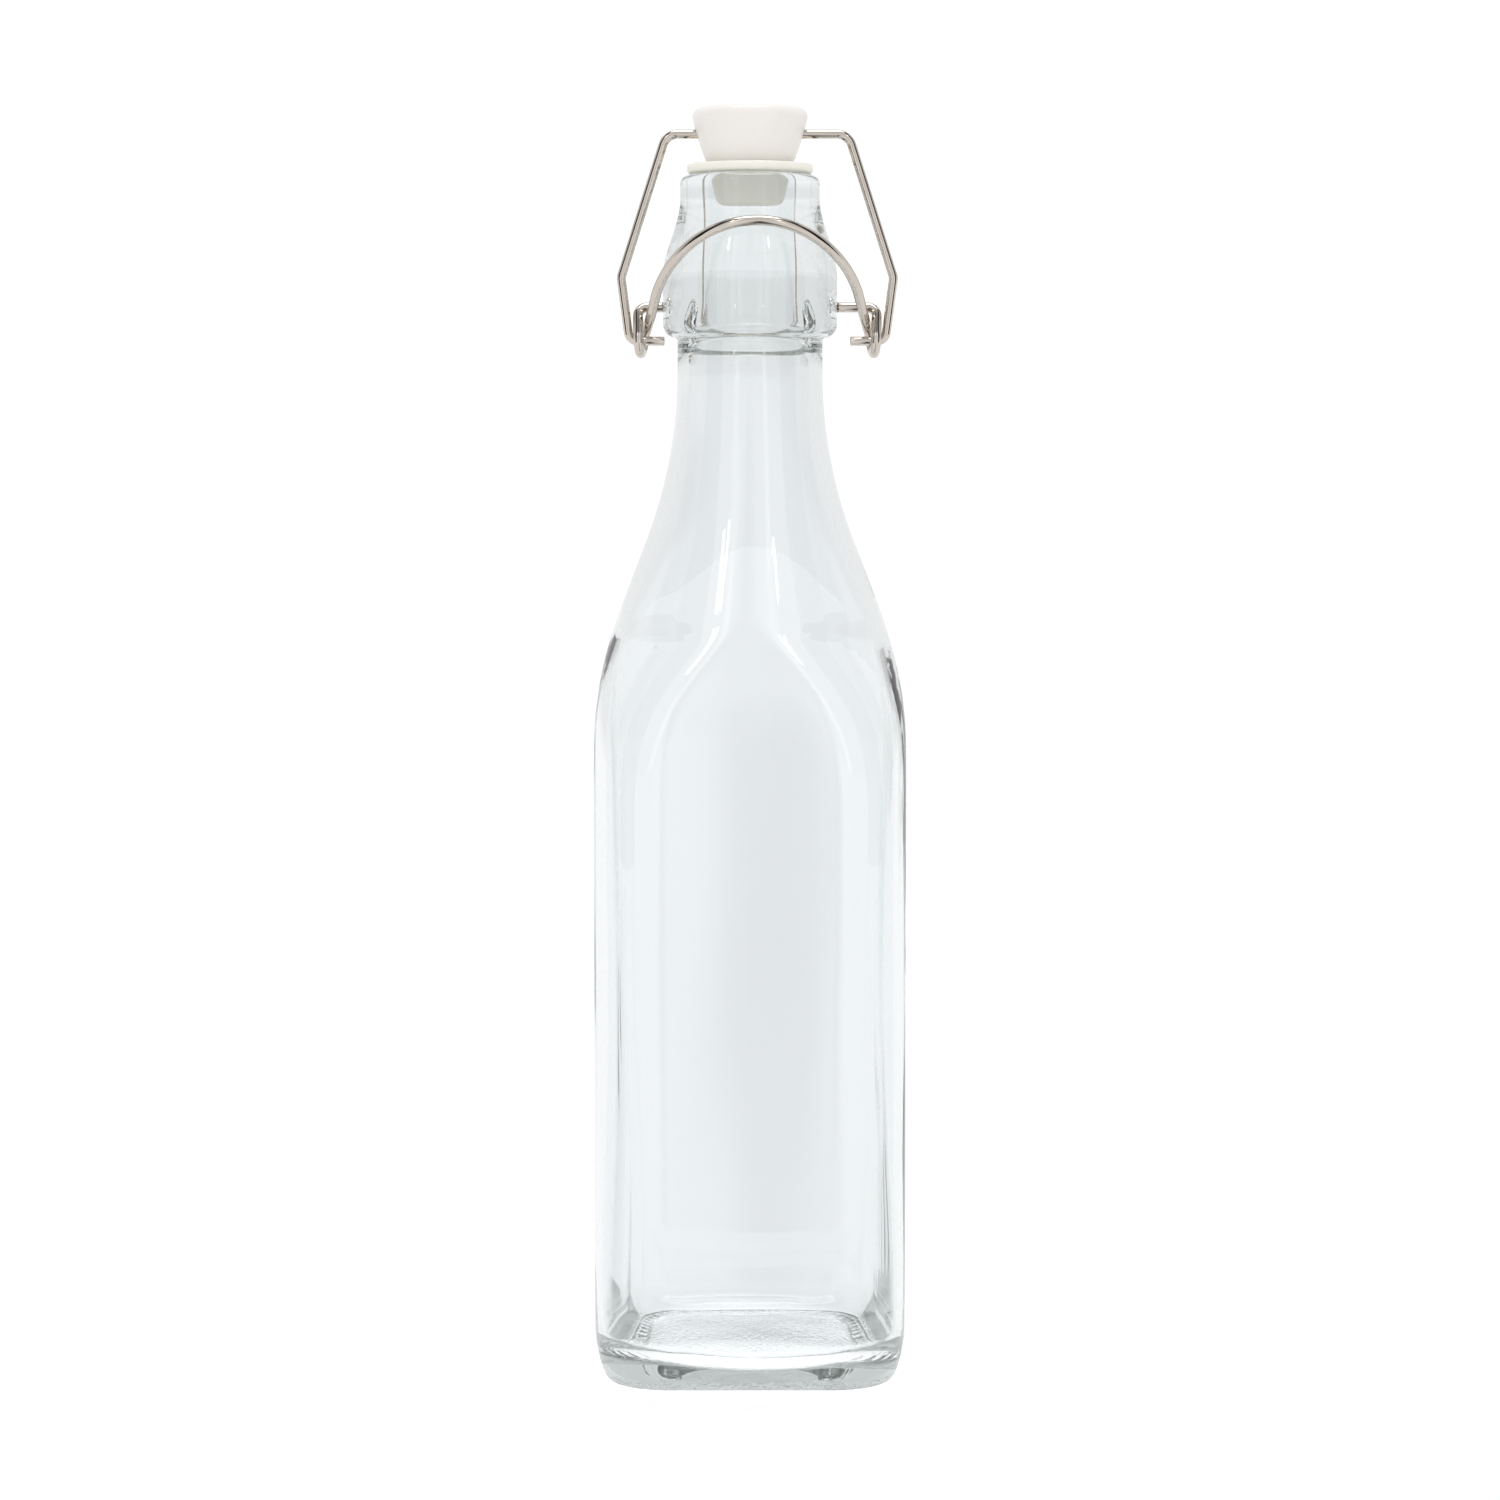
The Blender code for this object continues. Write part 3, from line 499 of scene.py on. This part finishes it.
# %% [markdown]
# A mould leaves the outside crisp, but the inside is only blown against cooling glass, so it waves gently.
# Those waves bend what is seen through the bottle into soft streaks, and without them the glass looks like
# plastic. Smooth noise moves each inner vertex in or out by a fraction of a millimetre, in waves that are
# longer upwards than round. More glass gathers in the lower corners, so a smooth lump is added in each. The
# standing ring carries the fine knurl that keeps hot glass off the belt.

# %% Waves and knurl
WAVE_ROUND = 15 * MM
WAVE_UP = 48 * MM
WAVE_DEPTH = 0.34 * MM
FLOOR_WAVE = 19 * MM
FLOOR_WAVE_DEPTH = 0.9 * MM
GATHER_DEPTH = 0.7 * MM
GATHERS = ((0.5, 44), (1.5, 30), (2.5, 58), (3.5, 36))  # turn of each corner, and height in mm of its lump
GATHER_SPREAD = 0.21  # in quarters of a turn, either side of the corner
KNURL_DEPTH = 0.22 * MM
KNURL_MARGIN = 0.6 * MM


def wave(place, depth):
    seed = Vector((place.x / WAVE_ROUND, place.y / WAVE_ROUND, place.z / WAVE_UP))
    return depth * noise.noise(seed)


def gathered(turn, z):
    """Extra glass that runs down into the corners before it sets, a little different in each."""
    for corner, height in GATHERS:
        off = (turn - corner) / GATHER_SPREAD
        rise = (z / MM - height * 0.45) / height
        if abs(off) < 1 and abs(rise) < 1:
            return GATHER_DEPTH * (1 - off**2) ** 2 * (1 - rise**2) ** 2
    return 0.0


def knurl(turn, half, z):
    """The ring's notches, one in two columns of vertices."""
    on_ring = hollow_half + KNURL_MARGIN < half < STANDING_HALF - KNURL_MARGIN and z < 1 * MM
    return KNURL_DEPTH if on_ring and int(turn * COLUMNS / 4 + 0.5) % 4 < 2 else 0.0


def shape_ring(verts, layer, ring, inner):
    half, offset, z = ring
    for vert in verts:
        turn = vert[layer]
        place = on_section(turn, half, offset)
        outward = place.normalized()
        place.z = z
        if inner:
            fade = ease((half - BORE_RADIUS) / (4 * MM)) * ease((z - FLOOR) / (10 * MM))
            place -= outward * (wave(place, WAVE_DEPTH) + gathered(turn, z)) * fade
            level = 1 - ease((z - FLOOR) / INNER_HEEL)
            place.z += FLOOR_WAVE_DEPTH * level * (noise.noise(place / FLOOR_WAVE) + 0.15)
        else:
            place.z += knurl(turn, half, z)
        vert.co = place


# %% Extrude the shell ring by ring
def extrude_ring(bm, edges):
    made = bmesh.ops.extrude_edge_only(bm, edges=edges)["geom"]
    verts = {item for item in made if isinstance(item, bmesh.types.BMVert)}
    edges = [e for e in made if isinstance(e, bmesh.types.BMEdge) and set(e.verts) <= verts]
    return list(verts), edges


bm = bmesh.new()
turn_layer = bm.verts.layers.float.new("turn")
first = bmesh.ops.create_circle(bm, cap_ends=False, segments=COLUMNS, radius=1.0)["verts"]
for vert in first:
    vert[turn_layer] = (math.atan2(vert.co.y, vert.co.x) % math.tau) / math.tau * 4
ring_edges = list(bm.edges)
shape_ring(first, turn_layer, outside[0], False)
for ring in outside[1:]:
    verts, ring_edges = extrude_ring(bm, ring_edges)
    shape_ring(verts, turn_layer, ring, False)
for ring in inside:
    verts, ring_edges = extrude_ring(bm, ring_edges)
    shape_ring(verts, turn_layer, ring, True)
for ends in (first, verts):
    rim_edges = [e for v in ends for e in v.link_edges if e.is_boundary]
    disc = bmesh.ops.contextual_create(bm, geom=list(set(rim_edges)))["faces"]
    bmesh.ops.poke(bm, faces=disc)
bottle = finished("bottle_glass", bm, math.radians(50))
print("bottle", len(bottle.data.polygons), "faces")

# %% [markdown]
# Each side of the collar has a blind socket, pressed into the hot glass by a pin with a rounded nose. A
# Boolean takes the shape of that pin out of the finished shell, and the result is kept as the mesh.

# %% Sockets for the lever
lever_axis = Vector(frame["record"]["behaviour"]["joints"][0]["pos_m"])
SOCKET_DEPTH = 5.9 * MM
SOCKET_RADIUS = 2.3 * MM
SOCKET_FLARE = 0.35 * MM
PIN_NOSE = 1.3 * MM
pin_length = SOCKET_DEPTH + 2 * MM


def socket_pin(side_sign):
    bm = bmesh.new()
    bmesh.ops.create_cone(
        bm,
        cap_ends=True,
        segments=48,
        radius1=SOCKET_RADIUS,
        radius2=SOCKET_RADIUS + SOCKET_FLARE,
        depth=pin_length,
    )
    nose = [e for e in bm.edges if all(v.co.z < 0 for v in e.verts)]
    bmesh.ops.bevel(
        bm, geom=nose, offset=PIN_NOSE, segments=6, profile=0.5, affect="EDGES", material=-1
    )
    bmesh.ops.rotate(
        bm, verts=bm.verts, cent=(0, 0, 0), matrix=Matrix.Rotation(side_sign * math.pi / 2, 3, "Y")
    )
    inward = COLLAR_RADIUS - SOCKET_DEPTH + pin_length / 2
    bmesh.ops.translate(bm, verts=bm.verts, vec=lever_axis + Vector((side_sign * inward, 0, 0)))
    return finished("socket_pin", bm)


pins = [socket_pin(side_sign) for side_sign in (-1, 1)]
for pin in pins:
    press = bottle.modifiers.new("press_socket", "BOOLEAN")
    press.operation = "DIFFERENCE"
    press.object = pin
pressed = bpy.data.meshes.new_from_object(bottle.evaluated_get(bpy.context.evaluated_depsgraph_get()))
bottle.modifiers.clear()
bottle.data = pressed
for pin in pins:
    bpy.data.objects.remove(pin)
print("with sockets", len(bottle.data.polygons), "faces")

# %% [markdown]
# Bottle glass is soda-lime glass, refractive index 1.52. A trace of iron makes it green, which a thin wall
# hides and a thick edge shows, so the green is in the volume and the surface stays almost colourless. Its
# fire-polished skin is smooth, with a long, very low ripple. Only the mould's floor is roughened, which
# gives the foot a stipple that breaks up the light.

# %% Glass finish
flint_glass, tree, shader = new_material("soda_lime_flint_glass_fire_polished")
shader.inputs["Base Color"].default_value = linear("#F7F9FA")
shader.inputs["Roughness"].default_value = 0.0
shader.inputs["IOR"].default_value = 1.52
shader.inputs["Transmission Weight"].default_value = 1.0
absorption = add(tree, "ShaderNodeVolumeAbsorption", {"Color": linear("#B2BDBA"), "Density": 13.0})
tree.links.new(absorption.outputs[0], tree.nodes["Material Output"].inputs["Volume"])
coords = add(tree, "ShaderNodeTexCoord").outputs["Object"]
RIPPLE = 14 * MM
ripple = add(tree, "ShaderNodeTexNoise", {"Vector": coords, "Scale": 1 / RIPPLE, "Detail": 1.0})
skin = add(tree, "ShaderNodeBump", {"Strength": 0.12, "Distance": 0.2 * MM, "Height": ripple.outputs["Fac"]})
STIPPLE = 1.1 * MM  # grain of the roughened mould under the foot
height = add(tree, "ShaderNodeSeparateXYZ", {"Vector": coords}).outputs["Z"]
under_foot = add(
    tree,
    "ShaderNodeMapRange",
    {"Value": height, "From Min": 2.0 * MM, "From Max": 2.7 * MM, "To Min": 0.9, "To Max": 0.0},
)
grain = add(tree, "ShaderNodeTexNoise", {"Vector": coords, "Scale": 1 / STIPPLE, "Detail": 2.0})
stipple = add(
    tree,
    "ShaderNodeBump",
    {
        "Strength": under_foot.outputs[0],
        "Distance": 0.35 * MM,
        "Height": grain.outputs["Fac"],
        "Normal": skin.outputs[0],
    },
)
tree.links.new(stipple.outputs[0], shader.inputs["Normal"])
FOOT_HAZE = 0.22
frost = add(
    tree,
    "ShaderNodeMapRange",
    {"Value": height, "From Min": 2.2 * MM, "From Max": 3.2 * MM, "To Min": FOOT_HAZE, "To Max": 0.0},
)
tree.links.new(frost.outputs[0], shader.inputs["Roughness"])
bottle.data.materials.clear()
bottle.data.materials.append(flint_glass)
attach(bottle, "glass")
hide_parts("bottle")
bottle.visible_shadow = False  # clear glass lets light through to the plug and to the table

# %% [markdown]
# ## Wires
# Both wires are spring steel, bent cold on pegs. A curve with a round bevel would do, but a swept ring of
# vertices also gets the small chamfer that the shears leave on a cut end. The path is straight runs joined
# by arcs, because that is what bending on a peg gives.


# %% Bend a path and sweep a ring along it
BEND_STEP = math.radians(5)


def bent(corners, bends):
    """A path through corners, each but the ends turned into an arc of its own bend radius."""
    corners = [Vector(c) for c in corners]
    path = [corners[0]]
    for before, corner, after, radius in zip(corners, corners[1:], corners[2:], bends):
        into, away = (corner - before).normalized(), (after - corner).normalized()
        turn = into.angle(away)
        normal = into.cross(away).normalized()
        start = corner - into * radius * math.tan(turn / 2)
        centre = start + normal.cross(into) * radius
        for i in range(math.ceil(turn / BEND_STEP) + 1):
            angle = turn * i / math.ceil(turn / BEND_STEP)
            path.append(centre + Matrix.Rotation(angle, 3, normal) @ (start - centre))
    return path + [corners[-1]]


def mirrored(half_path):
    """The whole wire from its half at +X, which ends in the middle."""
    other = [Vector((-p.x, p.y, p.z)) for p in half_path]
    return half_path + other[:-1][::-1]


WIRE_SIDES = 24
SHEAR_CHAMFER = 0.22 * MM
SIDE_PLAY = 1.5 * MM  # both wires have slid this far sideways in their sockets


def sweep(name, path, radius):
    path = [p + Vector((SIDE_PLAY, 0, 0)) for p in path]
    heading = (path[1] - path[0]).normalized()
    start = Matrix.Translation(path[0]) @ heading.to_track_quat("Z", "Y").to_matrix().to_4x4()
    bm = bmesh.new()
    bmesh.ops.create_circle(bm, cap_ends=False, segments=WIRE_SIDES, radius=radius, matrix=start)
    edges = list(bm.edges)
    for i in range(1, len(path)):
        verts, edges = extrude_ring(bm, edges)
        bmesh.ops.translate(bm, verts=verts, vec=path[i] - path[i - 1])
        onward = path[min(i + 1, len(path) - 1)] - path[i - 1]
        swing = heading.rotation_difference(onward.normalized()).to_matrix()
        bmesh.ops.rotate(bm, verts=verts, cent=path[i], matrix=swing)
        heading = onward.normalized()
    bmesh.ops.holes_fill(bm, edges=[e for e in bm.edges if e.is_boundary])
    cut_edges = [e for e in bm.edges if any(len(f.verts) > 4 for f in e.link_faces)]
    bmesh.ops.bevel(
        bm, geom=cut_edges, offset=SHEAR_CHAMFER, segments=2, profile=0.5, affect="EDGES", material=-1
    )
    print(name, len(bm.faces), "faces")
    return finished(name, bm, math.radians(55))


# %% [markdown]
# The yoke runs through the cap, out and down on both sides, and hooks inwards through the lever's eyes. It
# leans forward a little, because its hooks sit in front of the line from the lever's axis to the cap. That
# small lead is what locks a closed bottle: pressure lifts the stopper, and the lever only presses harder on
# the neck.

# %% Yoke
hook_axis = Vector(frame["record"]["behaviour"]["joints"][1]["pos_m"])
bar_axis = Vector(frame["record"]["behaviour"]["joints"][2]["pos_m"])
YOKE_RADIUS = 0.95 * MM
yoke_lean = (hook_axis - bar_axis) / (bar_axis.z - hook_axis.z)


def on_yoke(x, z):
    return bar_axis + yoke_lean * (bar_axis.z - z) + Vector((x, 0, 0))


yoke_path = mirrored(
    bent(
        [
            on_yoke(19.0 * MM, hook_axis.z),
            on_yoke(26.2 * MM, hook_axis.z),
            on_yoke(27.9 * MM, 225.1 * MM),
            on_yoke(18.6 * MM, bar_axis.z),
            on_yoke(0, bar_axis.z),
        ],
        [2.1 * MM, 3.0 * MM, 3.2 * MM],
    )
)
yoke = sweep("yoke_bent_wire", yoke_path, YOKE_RADIUS)

# %% [markdown]
# The lever is one wire too. From its end in a socket it runs outwards, turns down the front of an eye, round
# under the yoke's hook and up the back, and then crosses its own pivot run on the inside to become the bow
# that a thumb pulls. The bow is drawn as half an ellipse, which looks round from the front because it leans.

# %% Lever
LEVER_RADIUS = 1.05 * MM
BOW_RISE = 16.8 * MM
BOW_CLEARANCE = 1.3 * MM
BOW_HALF = 21.8 * MM
BOW_LENGTH = 27.9 * MM
BOW_END = math.radians(72)
CROSSING_GAP = 0.35 * MM
EYE_RADIUS = 2.6 * MM
PIVOT_HALF = 24.5 * MM
PIVOT_BEND = 1.9 * MM
EYE_FRONT = 24.3 * MM
EYE_BACK = 22.9 * MM
CROSSING = 21.95 * MM
LEVER_END = 14.0 * MM


top = Vector((collar_radius(lever_axis.z + BOW_RISE) + BOW_CLEARANCE + LEVER_RADIUS, BOW_RISE))
hook = Vector((-hook_axis.y, hook_axis.z - lever_axis.z))  # (forward, up) from the lever's axis
miss = 2 * LEVER_RADIUS + CROSSING_GAP
lean = math.atan2(top.y, top.x) + math.asin(miss / top.length)
along = Vector((math.cos(lean), math.sin(lean)))
ahead = Vector((math.sin(lean), -math.cos(lean)))
eye = top - along * (top - hook).dot(along) + ahead * EYE_RADIUS


def on_lever(x, place):
    return lever_axis + Vector((x, -place.x, place.y))


touch_angle = math.atan2(eye.x, -eye.y) + math.asin(EYE_RADIUS / eye.length)
reach = math.sqrt(eye.length_squared - EYE_RADIUS**2)
touch = Vector((math.sin(touch_angle), -math.cos(touch_angle))) * reach
front = touch - eye
eye_turn = math.pi - (
    (math.atan2(ahead.y, ahead.x) - math.atan2(front.y, front.x) + math.pi) % math.tau - math.pi
)
half_path = bent(
    [on_lever(LEVER_END, Vector((0, 0))), on_lever(PIVOT_HALF, Vector((0, 0))), on_lever(EYE_FRONT, touch)],
    [PIVOT_BEND],
)
for share in between(0.0, 1.0, 48):
    spoke = Matrix.Rotation(-eye_turn * share, 2) @ front
    sideways = (EYE_BACK - EYE_FRONT) * share**1.6  # slow at first, so that the turns of the eye don't touch
    half_path.append(on_lever(EYE_FRONT + sideways, eye + spoke))
bow = []
for share in between(0.0, 1.0, 40):
    angle = BOW_END * (1 - share)
    drop = BOW_LENGTH * (1 - math.cos(angle))
    bow.append(on_lever(BOW_HALF * math.sin(angle), top - along * drop))
crossing_drop = math.sqrt(top.length_squared - miss**2) + 0.9 * MM
crossing = on_lever(CROSSING, top - along * crossing_drop)
half_path += bent([half_path[-1], crossing, bow[0]], [10 * LEVER_RADIUS])[1:-1] + bow
print("eye turns", round(math.degrees(eye_turn)), "degrees, bow leans", round(math.degrees(lean)))
lever = sweep("lever_bent_wire", mirrored(half_path), LEVER_RADIUS)

# %% [markdown]
# The wire is drawn steel with a bright nickel plate. Drawing leaves it mirror-like along its length with a
# slight haze, the plate is warmer than chromium, and handling dulls it in patches. A metal keeps the
# shader's usual index, and the patches come from noise with a real size in millimetres.

# %% Wire finish
plated_wire, tree, shader = new_material("drawn_spring_steel_nickel_plated")
coords = add(tree, "ShaderNodeTexCoord").outputs["Object"]
PATCH = 2.5 * MM
DRAWING_LINE = 0.35 * MM
patches = add(tree, "ShaderNodeTexNoise", {"Vector": coords, "Scale": 1 / PATCH, "Detail": 3.0})
tint = mixed(tree, patches.outputs["Fac"], linear("#D3CCC4"), linear("#C6BDB3"))
tree.links.new(tint, shader.inputs["Base Color"])
haze = add(
    tree,
    "ShaderNodeMapRange",
    {"Value": patches.outputs["Fac"], "From Min": 0.3, "From Max": 0.7, "To Min": 0.05, "To Max": 0.1},
)
tree.links.new(haze.outputs[0], shader.inputs["Roughness"])
shader.inputs["Metallic"].default_value = 1.0
lines = add(tree, "ShaderNodeTexNoise", {"Vector": coords, "Scale": 1 / DRAWING_LINE, "Detail": 2.0})
bump = add(
    tree, "ShaderNodeBump", {"Strength": 0.06, "Distance": 0.01 * MM, "Height": lines.outputs["Fac"]}
)
tree.links.new(bump.outputs[0], shader.inputs["Normal"])
for wire, body, node in ((yoke, "yoke", "yoke_wire"), (lever, "lever", "lever_wire")):
    wire.data.materials.append(plated_wire)
    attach(wire, body)
    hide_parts(node)

# %% [markdown]
# ## Stopper
# The cap is turned here as it is moulded: a round body that widens upwards to a soft edge, with a stem below
# that the seal snaps onto. Its outline is a chain of points, spun a full turn. The yoke's cross hole is
# drilled with a Boolean.


# %% Spin an outline
TURNED_STEPS = 96


def spun(name, outline):
    bm = bmesh.new()
    chain = [bm.verts.new((radius, 0, z)) for radius, z in outline]
    edges = [bm.edges.new(pair) for pair in zip(chain, chain[1:])]
    bmesh.ops.spin(
        bm,
        geom=chain + edges,
        cent=(0, 0, 0),
        axis=(0, 0, 1),
        angle=math.tau,
        steps=TURNED_STEPS,
        use_merge=True,
    )
    bmesh.ops.remove_doubles(bm, verts=bm.verts, dist=0.001 * MM)
    print(name, len(bm.faces), "faces")
    return finished(name, bm)


# %% Cap
SEAL_THICKNESS = 1.9 * MM
SEAT_GAP = 0.3 * MM
SEAL_TOP = RIM + SEAT_GAP + SEAL_THICKNESS
STEM_FIT = 0.15 * MM
CAP_BOTTOM = SEAL_TOP + STEM_FIT
CAP_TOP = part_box("stopper_cap")[1].z
CAP_RADIUS = 11.8 * MM
CAP_FOOT = 8.9 * MM
CAP_EDGE = 2.0 * MM
CAP_CROWN = 0.3 * MM
GATE_RADIUS = 1.1 * MM  # the scar where plastic ran into the mould, in the middle of the top
GATE_DEPTH = 0.3 * MM
FOOT_ROUND = 0.4 * MM
STEM_RADIUS = 4.4 * MM
STEM_END = CAP_BOTTOM - 6.6 * MM
BEAD = 0.6 * MM
BEAD_HEIGHT = STEM_END + 1.4 * MM

outline = [(0, STEM_END), (STEM_RADIUS - BEAD, STEM_END), (STEM_RADIUS + BEAD, BEAD_HEIGHT)]
outline += [(STEM_RADIUS, BEAD_HEIGHT + BEAD), (STEM_RADIUS, CAP_BOTTOM)]
outline += [(CAP_FOOT - FOOT_ROUND, CAP_BOTTOM)]
outline += curve(
    (CAP_FOOT - FOOT_ROUND, CAP_BOTTOM + FOOT_ROUND), (FOOT_ROUND, FOOT_ROUND), -math.pi / 2, 0, 4
)
edge_start = CAP_TOP - CAP_CROWN - CAP_EDGE
for t in between(0.04, 1.0, 16):
    radius = CAP_FOOT + (CAP_RADIUS - CAP_FOOT) * (0.75 * t + 0.25 * (1 - (1 - t) ** 2))
    outline.append((radius, CAP_BOTTOM + (edge_start - CAP_BOTTOM) * t))
outline += curve((CAP_RADIUS - CAP_EDGE, edge_start), (CAP_EDGE, CAP_EDGE), 0, math.pi / 2, 10)
for t in between(0.0, 1.0, 8):
    radius = (CAP_RADIUS - CAP_EDGE) + (GATE_RADIUS - CAP_RADIUS + CAP_EDGE) * t
    outline.append((radius, CAP_TOP - CAP_CROWN * (radius / (CAP_RADIUS - CAP_EDGE)) ** 2))
outline += [(GATE_RADIUS * 0.9, CAP_TOP - GATE_DEPTH), (0, CAP_TOP - GATE_DEPTH)]
cap = spun("stopper_cap_moulding", outline)

# %% Cross hole
HOLE_RADIUS = 1.3 * MM
DRILL_LENGTH = 3 * CAP_RADIUS
drill_mesh = bmesh.new()
bmesh.ops.create_cone(
    drill_mesh, cap_ends=True, segments=40, radius1=HOLE_RADIUS, radius2=HOLE_RADIUS, depth=DRILL_LENGTH
)
bmesh.ops.rotate(
    drill_mesh, verts=drill_mesh.verts, cent=(0, 0, 0), matrix=Matrix.Rotation(math.pi / 2, 3, "Y")
)
bmesh.ops.translate(drill_mesh, verts=drill_mesh.verts, vec=bar_axis)
drill = finished("drill", drill_mesh)
cross_hole = cap.modifiers.new("cross_hole", "BOOLEAN")
cross_hole.operation = "DIFFERENCE"
cross_hole.object = drill
drilled = bpy.data.meshes.new_from_object(cap.evaluated_get(bpy.context.evaluated_depsgraph_get()))
cap.modifiers.clear()
cap.data = drilled
bpy.data.objects.remove(drill)

# %% [markdown]
# The cap is polypropylene, a waxy white that lets a little light into its skin. A spark-eroded mould gives it
# a fine, even tooth. The two mould halves meet in a hair line over the middle, which is not modelled here.

# %% Cap finish
cap_plastic, tree, shader = new_material("moulded_white_polypropylene")
coords = add(tree, "ShaderNodeTexCoord").outputs["Object"]
TOOTH = 0.45 * MM
CLOUD = 5 * MM
cloud = add(tree, "ShaderNodeTexNoise", {"Vector": coords, "Scale": 1 / CLOUD, "Detail": 2.0})
tint = mixed(tree, cloud.outputs["Fac"], linear("#F6F3F0"), linear("#F1EDE9"))
tree.links.new(tint, shader.inputs["Base Color"])
tooth = add(tree, "ShaderNodeTexNoise", {"Vector": coords, "Scale": 1 / TOOTH, "Detail": 2.0})
sheen = add(tree, "ShaderNodeMapRange", {"Value": tooth.outputs["Fac"], "To Min": 0.3, "To Max": 0.42})
tree.links.new(sheen.outputs[0], shader.inputs["Roughness"])
shader.inputs["IOR"].default_value = 1.49
shader.inputs["Subsurface Weight"].default_value = 0.25
shader.inputs["Subsurface Radius"].default_value = (2.2, 2.0, 1.7)
shader.inputs["Subsurface Scale"].default_value = 1 * MM
bump = add(
    tree, "ShaderNodeBump", {"Strength": 0.2, "Distance": 0.02 * MM, "Height": tooth.outputs["Fac"]}
)
tree.links.new(bump.outputs[0], shader.inputs["Normal"])
cap.data.materials.clear()
cap.data.materials.append(cap_plastic)
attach(cap, "stopper")
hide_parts("stopper_cap")

# %% [markdown]
# ## Seal
# The seal is soft silicone: a disc that lies on the rim, a plug that fills the bore and a pocket that snaps
# over the cap's stem. Its edges are all rounded, because a soft moulding can't hold a sharp one.

# %% Seal
SEAL_RADIUS = 12.9 * MM
PLUG_RADIUS = 8.3 * MM
PLUG_END_RADIUS = 7.0 * MM
PLUG_LENGTH = 7.7 * MM
PLUG_ROUND = 2.2 * MM
PLUG_CORNER = (0.25 * MM, 0.3 * MM)  # across and up, where the plug meets the disc
DISC_ROUND = 0.6 * MM

under = SEAL_TOP - SEAL_THICKNESS
plug_end = under - PLUG_LENGTH
outline = [(0, plug_end), (PLUG_END_RADIUS - PLUG_ROUND, plug_end)]
outline += curve(
    (PLUG_END_RADIUS - PLUG_ROUND, plug_end + PLUG_ROUND), (PLUG_ROUND, PLUG_ROUND), -math.pi / 2, 0, 10
)
outline += [(PLUG_RADIUS, under - PLUG_CORNER[1]), (PLUG_RADIUS + PLUG_CORNER[0], under)]
outline += [(SEAL_RADIUS - DISC_ROUND, under)]
outline += curve(
    (SEAL_RADIUS - DISC_ROUND, under + DISC_ROUND), (DISC_ROUND, DISC_ROUND), -math.pi / 2, 0, 5
)
outline += curve(
    (SEAL_RADIUS - DISC_ROUND, SEAL_TOP - DISC_ROUND), (DISC_ROUND, DISC_ROUND), 0, math.pi / 2, 5
)
pocket = STEM_RADIUS + STEM_FIT
outline += [(pocket, SEAL_TOP), (pocket, BEAD_HEIGHT + BEAD + STEM_FIT)]
outline += [(pocket + BEAD, BEAD_HEIGHT + STEM_FIT / 2), (pocket + BEAD, BEAD_HEIGHT - STEM_FIT / 2)]
outline += [(pocket - BEAD, STEM_END - STEM_FIT), (0, STEM_END - STEM_FIT)]
seal = spun("stopper_seal_moulding", outline)

# %% [markdown]
# Silicone rubber is milky: light goes in, scatters and comes out soft. Its index is 1.41, lower than glass,
# and its skin has a satin haze with fine dust on it. A faint cream glow is painted into it, in place of the
# light that reaches it through the thick rim.

# %% Seal finish
silicone, tree, shader = new_material("translucent_silicone_rubber")
coords = add(tree, "ShaderNodeTexCoord").outputs["Object"]
DUST = 0.7 * MM
dust = add(tree, "ShaderNodeTexNoise", {"Vector": coords, "Scale": 1 / DUST, "Detail": 3.0})
tint = mixed(tree, dust.outputs["Fac"], linear("#F1EFE6"), linear("#ECEADF"))
tree.links.new(tint, shader.inputs["Base Color"])
satin = add(tree, "ShaderNodeMapRange", {"Value": dust.outputs["Fac"], "To Min": 0.3, "To Max": 0.45})
tree.links.new(satin.outputs[0], shader.inputs["Roughness"])
shader.inputs["IOR"].default_value = 1.41
shader.inputs["Subsurface Weight"].default_value = 0.5
shader.inputs["Subsurface Radius"].default_value = (3.0, 3.0, 2.4)
shader.inputs["Subsurface Scale"].default_value = 1 * MM
# Painted glow: a faint cream emission brightens the seal, standing in for light that reaches it through the
# glass.
shader.inputs["Emission Color"].default_value = linear("#FFF9E0")
shader.inputs["Emission Strength"].default_value = 0.06  # painted light: a faint glow in place of the light that the thick rim pipes into the rubber
seal.data.materials.append(silicone)
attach(seal, "stopper")
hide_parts("stopper_seal")
